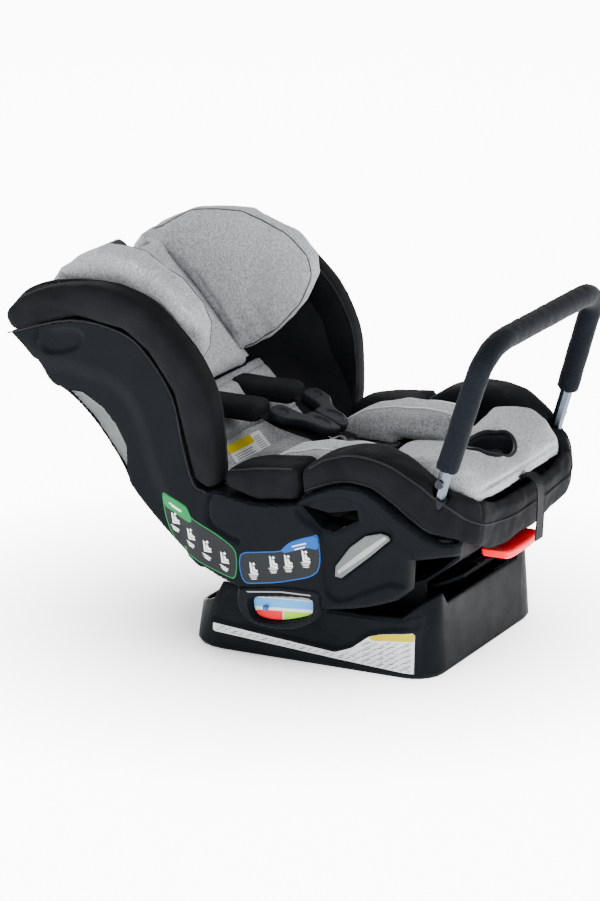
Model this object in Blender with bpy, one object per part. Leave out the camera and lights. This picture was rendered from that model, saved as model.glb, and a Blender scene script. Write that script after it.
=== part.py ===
"""A convertible child car seat on its base, reclined to ride rear-facing, with an anti-rebound bar.

Metres, +Z up. The child faces -Y and +X is the child's left. The origin lies on the flat underside of
the base, on the centre plane of the seat.
"""

import math

import bmesh
import bpy
from mathutils import Matrix, Vector

# ---- Driving dimensions -------------------------------------------------------------------------
GAP = 0.0004                     # clearance between two pieces that touch
HALF_WIDTH = 0.235               # outside of the side panels and wings
PANEL_MOUTH = 0.172              # the side panels are open towards the middle from here
WALL = 0.004                     # thickness of the moulded panels
TUB_HALF = 0.150                 # half width of the central shell
BASE_HALF = 0.182
BASE_FRONT, BASE_REAR = -0.296, 0.093
FLOOR = 0.012                    # top of the base's floor
PIVOT = (-0.120, 0.450)          # (y, z) of the recline axis, which runs along X
CRADLE = 0.350                   # radius of the shell's underside about the recline axis
RACK_RADIUS = 0.400
TUB_FLOOR = 0.210                # top of the central shell under the seat
BELT_SLOT = ((-0.118, 0.246), (-0.148, 0.217), (-0.168, 0.2135), (-0.206, 0.235), (-0.203, 0.2495),
             (-0.160, 0.2400))
PAN_HINGE = (-0.118, 0.2465)     # (y, z) of the seat pan's hinge
PAN_PIN_R = 0.003
BAR_X = 0.196                    # the anti-rebound bar's feet
BAR_TUBE_R, BAR_FOAM_R = 0.0095, 0.0165
BAR_LEG = ((BAR_X, -0.3000, 0.236), (BAR_X, -0.3115, 0.276), (BAR_X, -0.3223, 0.3135),
           (0.1945, -0.3355, 0.357), (0.1915, -0.3515, 0.411), (0.1890, -0.3620, 0.445))
BAR_TOP = (-0.377, 0.490)
FOAM_FROM = {"left": 0.325, "right": 0.307}              # the foam sleeve's lower ends
RAIL_X, RAIL_R = 0.060, 0.004    # the two legs of the headrest's guide rail
BALL_CENTRE = (-0.062, 0.309)    # centre of curvature of the level indicator's track
BALL_TRACK_R, BALL_R = 0.220, 0.0042
RECLINE_RANGE = 18.0             # degrees

BACK_FOOT = Vector((0.0, 0.014, 0.205))                  # the back's surface starts here
BACK_UP = Vector((0.0, 0.66, 0.75)).normalized()         # up along the back
BACK_OUT = Vector((0.0, -0.75, 0.66)).normalized()       # out of the back, towards the child
BUCKLE_FOOT = Vector((0.0, -0.1040, 0.2525))
BUCKLE_UP = Vector((0.0, 0.96, 0.28))
BUCKLE_OUT = Vector((0.0, -0.28, 0.96))
CLIP_CENTRE = Vector((0.0, -0.017, 0.295))
CLIP_UP = Vector((0.0, 0.93, 0.37)).normalized()
CLIP_OUT = Vector((0.0, -0.37, 0.93)).normalized()

SIDES = (("left", 1.0), ("right", -1.0))
FINISHES = {
    "base_plastic": ((0.020, 0.021, 0.024), 0.38, 0.0),
    "shell_plastic": ((0.050, 0.052, 0.058), 0.45, 0.0),
    "black_fabric": ((0.026, 0.027, 0.031), 0.95, 0.0),
    "grey_fabric": ((0.42, 0.43, 0.45), 0.95, 0.0),
    "pale_plastic": ((0.45, 0.46, 0.47), 0.50, 0.0),
    "webbing": ((0.018, 0.018, 0.021), 0.80, 0.0),
    "foam": ((0.015, 0.019, 0.027), 0.90, 0.0),
    "red_plastic": ((0.75, 0.020, 0.030), 0.30, 0.0),
    "steel": ((0.62, 0.63, 0.65), 0.28, 1.0),
    "grip_rubber": ((0.16, 0.16, 0.17), 0.90, 0.0),
    "clip_plastic": ((0.030, 0.031, 0.035), 0.40, 0.0),
    "ball_blue": ((0.015, 0.060, 0.20), 0.25, 0.0),
}


# ---- Outlines -----------------------------------------------------------------------------------
def through(points, steps=3):
    """An open Catmull-Rom curve through the points, with this many steps between two of them."""
    points = [Vector(p) for p in points]
    padded = [2 * points[0] - points[1], *points, 2 * points[-1] - points[-2]]
    curve = []
    for a, b, c, d in zip(padded, padded[1:], padded[2:], padded[3:]):
        for i in range(steps):
            t = i / steps
            curve.append(0.5 * (2 * b + (c - a) * t + (2 * a - 5 * b + 4 * c - d) * t * t
                                + (3 * b - a - 3 * c + d) * t * t * t))
    return [tuple(p) for p in (*curve, points[-1])]


def arc(centre, radius, start, end, steps):
    """Points of an arc in degrees, counter-clockwise where end is above start."""
    turns = [math.radians(start + (end - start) * i / steps) for i in range(steps + 1)]
    return [(centre[0] + radius * math.cos(a), centre[1] + radius * math.sin(a)) for a in turns]


def cradle_arc(radius, y_from, y_to, steps):
    """The arc below the recline axis from one y to another."""
    start, end = (math.degrees(-math.acos((y - PIVOT[0]) / radius)) for y in (y_from, y_to))
    return arc(PIVOT, radius, start, end, steps)


def inset(outline, distance):
    """The closed outline moved inwards by the distance, or outwards where it is negative."""
    area = sum(a[0] * b[1] - b[0] * a[1] for a, b in zip(outline, (*outline[1:], outline[0])))
    turn = distance if area > 0 else -distance
    moved = []
    for i, point in enumerate(outline):
        before = (Vector(point) - Vector(outline[i - 1])).normalized()
        after = (Vector(outline[(i + 1) % len(outline)]) - Vector(point)).normalized()
        normals = [Vector((-d.y, d.x)) for d in (before, after)]
        miter = (normals[0] + normals[1]) / max(0.35, 1 + normals[0].dot(normals[1]))
        moved.append(tuple(Vector(point) + turn * miter))
    return moved


# ---- Where an outline (a, b) with a depth c lies in space ---------------------------------------
def side_view(a, b, c):
    return Vector((c, a, b))


def plan_view(a, b, c):
    return Vector((a, b, c))


def back_view(a, b, c):
    return BACK_FOOT + Vector((a, 0, 0)) + BACK_UP * b + BACK_OUT * c


def buckle_view(a, b, c):
    return BUCKLE_FOOT + Vector((a, 0, 0)) + BUCKLE_UP * b + BUCKLE_OUT * c


def clip_view(a, b, c):
    return CLIP_CENTRE + Vector((a, 0, 0)) + CLIP_UP * b + CLIP_OUT * c


# ---- Solids -------------------------------------------------------------------------------------
def finish_of(name):
    found = bpy.data.materials.get(name)
    if found:
        return found
    colour, roughness, metallic = FINISHES[name]
    made = bpy.data.materials.new(name)
    made.use_nodes = True
    shader = made.node_tree.nodes["Principled BSDF"]
    shader.inputs["Base Color"].default_value = (*colour, 1.0)
    shader.inputs["Roughness"].default_value = roughness
    shader.inputs["Metallic"].default_value = metallic
    return made


def add(name, data, finish):
    piece = bpy.data.objects.new(name, data)
    data.materials.append(finish_of(finish))
    bpy.context.scene.collection.objects.link(piece)
    return piece


def loft(name, rings, finish, endless=False):
    """A solid through closed rings of points, capped at both ends unless the last joins the first."""
    bm = bmesh.new()
    loops = [[bm.verts.new(point) for point in ring] for ring in rings]
    pairs = list(zip(loops, loops[1:]))
    if endless:
        pairs.append((loops[-1], loops[0]))
    else:
        bm.faces.new(loops[0])
        bm.faces.new(loops[-1])
    for low, high in pairs:
        for i in range(len(low)):
            j = (i + 1) % len(low)
            bm.faces.new((low[i], low[j], high[j], high[i]))
    bmesh.ops.recalc_face_normals(bm, faces=bm.faces)
    mesh = bpy.data.meshes.new(name)
    bm.to_mesh(mesh)
    bm.free()
    mesh.shade_smooth()
    mesh.set_sharp_from_angle(angle=math.radians(35))
    return add(name, mesh, finish)


def extrude(name, outline, low, high, view, finish):
    """The outline drawn in a view and carried from one depth to another."""
    return loft(name, [[view(*p, depth) for p in outline] for depth in (low, high)], finish)


def round_edges(piece, width, segments=2, angle=40):
    bevel = piece.modifiers.new("Round", "BEVEL")
    bevel.width = width
    bevel.segments = segments
    bevel.limit_method = "ANGLE"
    bevel.angle_limit = math.radians(angle)
    return piece


def combine(piece, other, operation="DIFFERENCE"):
    """A Boolean with a helper that stays hidden."""
    other.hide_render = True
    other.display_type = "WIRE"
    boolean = piece.modifiers.new("Cut" if operation == "DIFFERENCE" else "Join", "BOOLEAN")
    boolean.operation = operation
    boolean.solver = "EXACT"
    boolean.object = other
    return piece


def rod(name, start, end, radius, finish, sides=14):
    """A straight round bar from one point to another."""
    start, end = Vector(start), Vector(end)
    turn = (end - start).to_track_quat("Z", "Y").to_matrix()
    circle = [turn @ Vector((radius * math.cos(a), radius * math.sin(a), 0))
              for a in (2 * math.pi * i / sides for i in range(sides))]
    return loft(name, [[end_point + p for p in circle] for end_point in (start, end)], finish)


def tube(name, path, radius, finish, roundness=3):
    """A bent round bar along the points."""
    curve = bpy.data.curves.new(name, "CURVE")
    curve.dimensions = "3D"
    spline = curve.splines.new("POLY")
    spline.points.add(len(path) - 1)
    for point, place in zip(spline.points, path):
        point.co = (*place, 1.0)
    curve.bevel_depth = radius
    curve.bevel_resolution = roundness
    curve.use_fill_caps = True
    return add(name, curve, finish)


def bent_rod(name, path, radius, finish, sides=12):
    """A bent round bar as a mesh, which a Boolean can cut."""
    rings = []
    points = [Vector(p) for p in path]
    across = Vector((0, 1, 0))
    for i, point in enumerate(points):
        along = (points[min(i + 1, len(points) - 1)] - points[max(i - 1, 0)]).normalized()
        across = (across - along * along.dot(across)).normalized()
        other = along.cross(across)
        rings.append([point + radius * (across * math.cos(a) + other * math.sin(a))
                      for a in (2 * math.pi * k / sides for k in range(sides))])
    return loft(name, rings, finish)


def strap(name, path, width, thickness, finish, across_hint=(1, 0, 0)):
    """Flat webbing along the points, its width as near the hint's direction as its run lets it."""
    rings = []
    points = [Vector(p) for p in path]
    for i, point in enumerate(points):
        along = (points[min(i + 1, len(points) - 1)] - points[max(i - 1, 0)]).normalized()
        hint = Vector(across_hint)
        across = (hint - along * along.dot(hint)).normalized()
        out = along.cross(across)
        rings.append([point + across * width / 2 * a + out * thickness / 2 * b
                      for a, b in ((-1, -1), (1, -1), (1, 1), (-1, 1))])
    return loft(name, rings, finish)


def soft_ring(centre, across, up, half_width, half_height, count=12, power=0.6):
    """A ring between an ellipse and a rectangle."""
    ring = []
    for i in range(count):
        turn = 2 * math.pi * (i + 0.5) / count
        a, b = math.cos(turn), math.sin(turn)
        ring.append(centre + across * half_width * math.copysign(abs(a) ** power, a)
                    + up * half_height * math.copysign(abs(b) ** power, b))
    return ring


# ---- Base ---------------------------------------------------------------------------------------
RIM = ((-0.296, 0.116), (-0.272, 0.104), (-0.246, 0.086), (-0.200, 0.083), (-0.120, 0.083),
       (-0.050, 0.086), (0.008, 0.096), (0.032, 0.100), (0.052, 0.071), (0.093, 0.056))
FRONT_DIP_HALF, FRONT_DIP_Z = 0.118, 0.098
CORNER_FRONT, CORNER_REAR = 0.045, 0.060


def rim_height(x, y):
    """How high the base's wall stands at a point of its plan."""
    if y < BASE_FRONT + CORNER_FRONT / 2 and abs(x) < FRONT_DIP_HALF:
        return FRONT_DIP_Z
    for (y0, z0), (y1, z1) in zip(RIM, RIM[1:]):
        if y <= y1:
            return z0 + (z1 - z0) * max(0.0, (y - y0) / (y1 - y0))
    return RIM[-1][1]


def base_plan():
    """(point, outward normal) pairs round the base, counter-clockwise from the front's middle."""
    def corner(x, y, radius, start):
        centre = Vector((x, y))
        normals = [Vector((math.cos(a), math.sin(a)))
                   for a in (math.radians(start + 18 * i) for i in range(6))]
        return [(centre + radius * n, n) for n in normals]

    right_front = corner(BASE_HALF - CORNER_FRONT, BASE_FRONT + CORNER_FRONT, CORNER_FRONT, -90)
    right_rear = corner(BASE_HALF - CORNER_REAR, BASE_REAR - CORNER_REAR, CORNER_REAR, 0)
    straight = [(Vector((BASE_HALF, y)), Vector((1, 0))) for y, _ in RIM[2:-3]]
    dip = [(Vector((x, BASE_FRONT)), Vector((0, -1)))
           for x in (0.050, FRONT_DIP_HALF - 0.002, FRONT_DIP_HALF + 0.012)]
    half = dip + right_front + straight + right_rear
    other = [(Vector((-p.x, p.y)), Vector((-n.x, n.y))) for p, n in reversed(half)]
    return half + other


def base():
    plan = base_plan()
    heights = [rim_height(point.x, point.y) for point, _ in plan]

    def ring(inward, levels):
        return [(*(point - normal * inward), z) for (point, normal), z in zip(plan, levels)]

    count = len(plan)
    tray = loft("base_tray", [ring(0.004, [0.0] * count), ring(0.0, [0.006] * count),
                              ring(0.007, [z - 0.003 for z in heights]), ring(0.009, heights),
                              ring(0.014, heights), ring(0.012, [FLOOR] * count)], "base_plastic")
    strip = [(BASE_FRONT + 0.006, 0.0), (BASE_FRONT + 0.030, 0.0), (BASE_FRONT + 0.030, 0.005),
             (BASE_FRONT + 0.006, 0.005)]
    groove = [(BASE_FRONT - 0.010, -0.010), (BASE_FRONT + 0.030 + GAP, -0.010),
              (BASE_FRONT + 0.030 + GAP, 0.005 + GAP), (BASE_FRONT - 0.010, 0.005 + GAP)]
    combine(tray, extrude("groove_cutter", groove, -0.1304, 0.1304, side_view, "base_plastic"))
    extrude("grip_strip", strip, -0.130, 0.130, side_view, "grip_rubber")

    track = cradle_arc(CRADLE + 0.0035, -0.250, 0.035, 14)
    track += [(track[-1][0], FLOOR + GAP), (track[0][0], FLOOR + GAP)]
    for name, side in SIDES:
        extrude(f"recline_track_{name}", track, side * 0.100, side * 0.108, side_view,
                "base_plastic")

    teeth = []
    for i in range(7):
        middle = -90 - 12 + 4 * i
        for turn, radius in ((-1.5, 0), (-0.9, 0), (-0.9, 0.006), (0.9, 0.006), (0.9, 0), (1.5, 0)):
            angle = math.radians(middle + turn)
            teeth.append((PIVOT[0] + (RACK_RADIUS + radius) * math.cos(angle),
                          PIVOT[1] + (RACK_RADIUS + radius) * math.sin(angle)))
    rack = [(teeth[0][0] - 0.006, FLOOR + GAP), (teeth[0][0] - 0.006, teeth[0][1]), *teeth,
            (teeth[-1][0] + 0.006, teeth[-1][1]), (teeth[-1][0] + 0.006, FLOOR + GAP)]
    extrude("recline_rack", rack, -0.012, 0.012, side_view, "steel")


# ---- Central shell, frame and mechanism ---------------------------------------------------------
def on_back(t, n):
    """(y, z) of a point up the back by t and out of it by n."""
    point = back_view(0, t, n)
    return (point.y, point.z)


def shell_core():
    outline = [(-0.325, TUB_FLOOR), (0.045, TUB_FLOOR), (0.066, 0.218), on_back(0.075, -0.030),
               on_back(0.400, -0.030), on_back(0.400, -0.060), on_back(-0.030, -0.060),
               *reversed(cradle_arc(CRADLE, -0.272, 0.030, 10)), (-0.300, 0.156), (-0.322, 0.176)]
    inner = inset(outline, WALL)
    rings = [[side_view(*p, x) for p in ring]
             for ring, x in ((outline, -TUB_HALF), (outline, TUB_HALF), (inner, TUB_HALF),
                             (inner, -TUB_HALF))]
    loft("shell_tub", rings, "shell_plastic", endless=True)

    half = [(0.118, -0.300, 0.192), (0.118, -0.160, 0.180), (0.118, -0.020, 0.176),
            (0.118, 0.040, 0.186), (0.118, *on_back(0.070, -0.045)),
            (0.118, *on_back(0.200, -0.045)), (0.118, *on_back(0.330, -0.045)),
            (0.095, *on_back(0.375, -0.045)), (0.0, *on_back(0.385, -0.045))]
    other = [(-x, y, z) for x, y, z in reversed(half[:-1])]
    tube("steel_frame", through(half + other, 3), 0.006, "steel", 1)

    front = cradle_arc(0.369, -0.302, -0.235, 6) + [(-0.205, 0.087), (-0.190, 0.0870)]
    back = [(y + 0.0025, z + 0.004) for y, z in reversed(front)]
    extrude("front_fairing", front + back, -0.088, 0.088, side_view, "base_plastic")

    plate = [on_back(0.030, -0.0610), on_back(0.360, -0.0610), on_back(0.366, -0.0640),
             on_back(0.366, -0.0775), on_back(0.020, -0.0775), on_back(0.005, -0.0660)]
    round_edges(extrude("rear_cover", plate, -0.168, 0.168, side_view, "pale_plastic"), 0.003)

    rail = [(RAIL_X, 0.184), (RAIL_X, 0.290), (RAIL_X, 0.372), (RAIL_X - 0.006, 0.386),
            (RAIL_X - 0.020, 0.392), (0.0, 0.392)]
    rail += [(-x, t) for x, t in reversed(rail[:-1])]
    tube("headrest_rail", [back_view(x, t, -0.0195) for x, t in rail], RAIL_R, "steel", 2)
    rod("pan_hinge_pin", (-0.108, *PAN_HINGE), (0.108, *PAN_HINGE), PAN_PIN_R, "steel", 12)


def recline_release():
    half = [(0.028, 0.1603), (0.046, 0.1620), (0.060, 0.1655)]
    upper = [(-x, z) for x, z in reversed(half)] + [(0.0, 0.1600)] + half
    lower = [(x * 0.94, z - 0.0125) for x, z in reversed(upper)]
    grip = loft("recline_handle", [[(x, y, z) for x, z in upper + lower] for y in (-0.350, -0.312)],
                "red_plastic")
    round_edges(grip, 0.003)
    path = [(0.0, y, z) for y, z in cradle_arc(0.3545, -0.3112, -0.1345, 8)]
    tube("recline_pull_rod", path, 0.0025, "steel", 1)
    bolt = [(-0.1245, 0.0530), (-0.1155, 0.0530), (-0.1155, 0.0880), (-0.1245, 0.0880)]
    extrude("recline_latch_bolt", bolt, -0.009, 0.009, side_view, "steel")


# ---- Side panels, wings and bolsters ------------------------------------------------------------
WING_EDGE = ((0.354, 0.466), (0.326, 0.494), (0.280, 0.512), (0.228, 0.522), (0.173, 0.521),
             (0.118, 0.502), (0.071, 0.464), (0.040, 0.428), (0.017, 0.384), (0.008, 0.335),
             (0.006, 0.281), (0.010, 0.256))
WING_SEAM = ((0.025, 0.247), (0.046, 0.258), (0.063, 0.314), (0.079, 0.379), (0.118, 0.433),
             (0.158, 0.460), (0.237, 0.469), (0.340, 0.439))
WING_FLARE = 0.09                # how fast the wings open outwards towards the front
BOLSTER_SEAM = ((0.015, 0.250), (-0.050, 0.240), (-0.112, 0.248))
RIM_SEAM = ((-0.122, 0.254), (-0.176, 0.276), (-0.221, 0.273), (-0.267, 0.243), (-0.312, 0.209),
            (-0.340, 0.204))
PANEL_BACK = ((0.298, 0.403), (0.276, 0.368), (0.255, 0.366), (0.207, 0.327), (0.165, 0.271),
              (0.157, 0.255), (0.149, 0.234), (0.100, 0.185), (0.060, 0.151))
INSET = ((-0.172, 0.152), (-0.173, 0.167), (-0.195, 0.197), (-0.218, 0.216), (-0.241, 0.223),
         (-0.252, 0.221), (-0.255, 0.2155), (-0.223, 0.186), (-0.182, 0.151))
INDICATOR = ((-0.022, 0.110), (-0.022, 0.088), (-0.033, 0.072), (-0.055, 0.064), (-0.094, 0.064),
             (-0.128, 0.075), (-0.147, 0.092), (-0.150, 0.119), (-0.142, 0.127), (-0.085, 0.125),
             (-0.031, 0.116))


def panel_outline():
    """The side panel as seen from the side: up the back, along the seams and round the underside."""
    under = cradle_arc(0.352, -0.262, 0.034, 10)
    front = [(-0.276, 0.140), (-0.279, 0.184), (-0.300, 0.188), (-0.342, 0.190)]
    seams = [*reversed(RIM_SEAM), *reversed(BOLSTER_SEAM), *WING_SEAM]
    return [*front, *seams, *PANEL_BACK, *reversed(under)]


PANEL_CORNER = ((0.2345, -0.262), (0.2195, -0.302), (0.1965, -0.3335), (0.168, -0.346),
                (0.168, -0.400), (0.260, -0.400), (0.260, -0.262))
SOLID_TIP = -0.262               # ahead of this y the side panel isn't hollow


def side_panel(name, side):
    outline = panel_outline()
    hollow = [(max(y, SOLID_TIP), z) for y, z in inset(outline, WALL)]
    rings = [[side_view(*p, side * x) for p in ring]
             for ring, x in ((outline, PANEL_MOUTH), (outline, HALF_WIDTH - 0.006),
                             (inset(outline, 0.002), HALF_WIDTH - 0.0005))]
    panel = loft(f"side_panel_{name}", rings, "shell_plastic")
    pocket = extrude(f"panel_cutter_{name}", hollow, side * (PANEL_MOUTH - 0.01),
                     side * (HALF_WIDTH - WALL), side_view, "shell_plastic")
    combine(panel, pocket)
    combine(panel, loft(f"rim_cutter_{name}", rim_rings(GAP), "shell_plastic"))
    corner = [(side * x, y) for x, y in PANEL_CORNER]
    combine(panel, extrude(f"corner_cutter_{name}", corner, 0.10, 0.26, plan_view,
                           "shell_plastic"))
    for cutter, cut_outline, reach in (("slot", BELT_SLOT, 0.15),
                                       ("inset", inset(INSET, -GAP), HALF_WIDTH - 0.010),
                                       ("indicator", inset(INDICATOR, -GAP), 0.184)):
        combine(panel, extrude(f"{cutter}_cutter_{name}", cut_outline, side * reach,
                               side * (HALF_WIDTH + 0.01), side_view, "shell_plastic"))
    extrude(f"side_inset_{name}", INSET, side * (HALF_WIDTH - 0.006), side * (HALF_WIDTH - 0.002),
            side_view, "pale_plastic")


def indicator(name, side):
    housing = extrude(f"indicator_housing_{name}", INDICATOR, side * 0.190, side * 0.2335,
                      side_view, "base_plastic")
    half = BALL_R + 0.0012
    lowest, highest = -90 - RECLINE_RANGE - 2.5, -90 + 2.5
    track = (arc(BALL_CENTRE, BALL_TRACK_R + half, lowest, highest, 8)
             + arc(BALL_CENTRE, BALL_TRACK_R - half, highest, lowest, 8))
    combine(housing, extrude(f"track_cutter_{name}", track, side * 0.2215, side * 0.240,
                             side_view, "base_plastic"))
    bm = bmesh.new()
    bmesh.ops.create_icosphere(bm, subdivisions=2, radius=BALL_R)
    mesh = bpy.data.meshes.new("ball")
    bm.to_mesh(mesh)
    bm.free()
    mesh.shade_smooth()
    ball = add(f"indicator_ball_{name}", mesh, "ball_blue")
    ball.parent = axis_empty(f"indicator_axis_{name}", (0, *BALL_CENTRE))
    ball.location = (side * 0.2270, 0, -BALL_TRACK_R)


def axis_empty(name, place):
    empty = bpy.data.objects.new(name, None)
    empty.location = place
    bpy.context.scene.collection.objects.link(empty)
    return empty


def wing_and_bolster(name, side):
    edge = through(WING_EDGE, 2)
    seam = [(y - 0.0010, z + 0.0012) for y, z in WING_SEAM]

    def flared(a, b, c):
        ahead = (Vector((0, a, b)) - BACK_FOOT).dot(BACK_OUT)
        return Vector((c + side * WING_FLARE * max(0.0, ahead), a, b))

    wing = extrude(f"wing_cover_{name}", edge + seam, side * 0.192, side * (HALF_WIDTH - 0.0005),
                   flared, "black_fabric")
    round_edges(wing, 0.010, 2, 60)
    bolster = [(0.003, 0.2560), (0.000, 0.282), (-0.050, 0.294), (-0.104, 0.300), (-0.112, 0.294),
               (-0.116, 0.272), (-0.113, 0.2505), (-0.050, 0.2425)]
    block = extrude(f"rear_bolster_{name}", bolster, side * 0.156, side * (HALF_WIDTH - 0.003),
                    side_view, "black_fabric")
    round_edges(block, 0.009, 2, 50)


# Stations of the front rim, from its rear end on one side to the middle of the front: the outer and
# the inner point in plan, then the top and the bottom.
RIM_STATIONS = (
    ((0.231, -0.117), (0.158, -0.117), 0.298, 0.257),
    ((0.231, -0.126), (0.156, -0.126), 0.306, 0.2615),
    ((0.231, -0.150), (0.155, -0.150), 0.320, 0.2690),
    ((0.231, -0.182), (0.155, -0.182), 0.331, 0.2785),
    ((0.231, -0.222), (0.155, -0.222), 0.332, 0.2770),
    ((0.230, -0.262), (0.155, -0.250), 0.324, 0.2520),
    ((0.221, -0.303), (0.156, -0.280), 0.302, 0.2180),
    ((0.198, -0.336), (0.156, -0.315), 0.278, 0.2075),
    ((0.158, -0.357), (0.144, -0.3455), 0.264, 0.1920),
    ((0.110, -0.362), (0.100, -0.347), 0.255, 0.1745),
    ((0.050, -0.363), (0.050, -0.347), 0.251, 0.1665),
)
LIP_TUCK = 0.019                 # how far the front lip's lower edge lies behind its upper edge


def above_panel(point):
    """The point lifted clear of the side panel's upper edge, where it is over it."""
    if abs(point.x) < PANEL_MOUTH - 0.006:
        return point
    for (y1, z1), (y0, z0) in zip(RIM_SEAM, RIM_SEAM[1:]):
        if y0 - 0.02 <= point.y <= y1:
            seam = z0 + (z1 - z0) * max(0.0, (point.y - y0) / (y1 - y0))
            return Vector((point.x, point.y, max(point.z, seam + 0.0035)))
    return point


def rim_rings(swell):
    """The rim's rings from its rear end on the left round the front to the right, swollen by this much."""
    rings = []
    for mirror in (1, -1):
        half = []
        for outer, inner, top, bottom in RIM_STATIONS:
            a = Vector((outer[0] * mirror, outer[1], 0))
            b = Vector((inner[0] * mirror, inner[1], 0))
            across = (a - b).normalized() * mirror
            centre = (a + b) / 2 + Vector((0, 0, (top + bottom) / 2))
            ring = soft_ring(centre, across, Vector((0, 0, 1)), (a - b).length / 2 + swell,
                             (top - bottom) / 2 + swell, 12, 0.55)
            tuck = LIP_TUCK * max(0.0, min(1.0, (0.150 - inner[0]) / 0.045))
            for point in ring:
                point.y += tuck * (top - point.z) / (top - bottom)
            half.append([above_panel(point) - Vector((0, 0, swell)) for point in ring])
        if mirror == 1:
            rings = half
        else:
            flipped = [[Vector((-p.x, p.y, p.z)) for p in ring] for ring in rings]
            rings = rings + list(reversed(flipped))
    return rings


def rim_cover():
    cover = loft("front_rim_cover", rim_rings(0.0), "black_fabric")
    for name, side in SIDES:
        foot, mouth = (Vector((side * x, y, z)) for x, y, z in BAR_LEG[:2])
        along = (mouth - foot).normalized()
        low, high = foot - along * 0.04, mouth + along * 0.06
        combine(cover, rod(f"socket_hole_{name}", low, high, 0.0142, "steel", 16))


# ---- Pads ---------------------------------------------------------------------------------------
def pads():
    back = [(-0.148, 0.088), (0.148, 0.088), (0.148, 0.176), (-0.148, 0.176)]
    round_edges(extrude("back_cushion", back, -0.0290, 0.0, back_view, "grey_fabric"), 0.008)
    seat = [(-0.108, TUB_FLOOR + GAP), (0.040, TUB_FLOOR + GAP), (0.066, 0.240), (0.058, 0.252),
            (0.010, 0.249), (-0.020, 0.243), (-0.090, 0.241), (-0.108, 0.237)]
    round_edges(extrude("seat_cushion", seat, -0.148, 0.148, side_view, "grey_fabric"), 0.003)
    thigh = [(-0.012, 0.2480), (-0.018, 0.274), (-0.055, 0.295), (-0.100, 0.306), (-0.150, 0.309),
             (-0.192, 0.307), (-0.207, 0.292), (-0.205, 0.2535), (-0.108, 0.2535), (-0.100, 0.2440)]
    for name, side in SIDES:
        pad = extrude(f"thigh_pad_{name}", thigh, side * 0.096, side * 0.150, side_view,
                      "grey_fabric")
        round_edges(pad, 0.009, 2, 30)


def pan():
    """The seat pan that lifts at the front, with its pads and the harness adjuster's button."""
    hinge_y, hinge_z = PAN_HINGE
    plate = [(-0.092, hinge_y), (0.092, hinge_y), (0.092, -0.232), (0.150, -0.238),
             (0.150, -0.320), (0.138, -0.336), (-0.138, -0.336), (-0.150, -0.320),
             (-0.150, -0.238), (-0.092, -0.232)]
    panel = extrude("pan_panel", plate, hinge_z - 0.003, hinge_z + 0.003, plan_view,
                    "shell_plastic")
    barrel = rod("hinge_barrel", (-0.0921, *PAN_HINGE), (0.0921, *PAN_HINGE), 0.0062, "steel", 14)
    bore = rod("hinge_bore", (-0.12, *PAN_HINGE), (0.12, *PAN_HINGE), PAN_PIN_R + GAP, "steel", 14)
    combine(panel, barrel, "UNION")
    combine(panel, bore)
    middle = [(-0.130, 0.2500), (-0.130, 0.259), (-0.150, 0.264), (-0.222, 0.270), (-0.228, 0.266),
              (-0.228, 0.2500)]
    round_edges(extrude("pan_cushion", middle, -0.091, 0.091, side_view, "grey_fabric"), 0.003)
    front = [(-0.2295, 0.2505), (-0.2295, 0.292), (-0.240, 0.302), (-0.270, 0.306), (-0.305, 0.304),
             (-0.330, 0.292), (-0.3420, 0.270), (-0.3430, 0.2505)]
    rings = []
    for x, depth, rise in ((-0.151, 0.84, 0.004), (-0.143, 0.93, 0.008), (-0.128, 0.98, 0.005),
                           (-0.080, 1.0, 0.0), (0.080, 1.0, 0.0), (0.128, 0.98, 0.005),
                           (0.143, 0.93, 0.008), (0.151, 0.84, 0.004)):
        rings.append([(x, front[0][0] + (y - front[0][0]) * depth, z + rise * (z > 0.26))
                      for y, z in front])
    pad = loft("front_pad", rings, "grey_fabric")
    oval = [(0.050 * math.cos(a), -0.297 + 0.032 * math.sin(a))
            for a in (2 * math.pi * i / 20 for i in range(20))]
    combine(pad, extrude("oval_cutter", oval, 0.20, 0.35, plan_view, "grey_fabric"))
    button = [(0.030 * math.cos(a), -0.297 + 0.017 * math.sin(a))
              for a in (2 * math.pi * i / 16 for i in range(16))]
    extrude("adjuster_button", button, 0.2565, 0.284, plan_view, "clip_plastic")


# ---- Headrest -----------------------------------------------------------------------------------
HEAD_WING = ((0.196, -0.003), (0.193, 0.060), (0.203, 0.108), (0.224, 0.141), (0.252, 0.153),
             (0.302, 0.147), (0.366, 0.117), (0.412, 0.064), (0.432, 0.000), (0.430, -0.034),
             (0.412, -0.036), (0.409, -0.003))
HEAD_FLARE = 0.42


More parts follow.
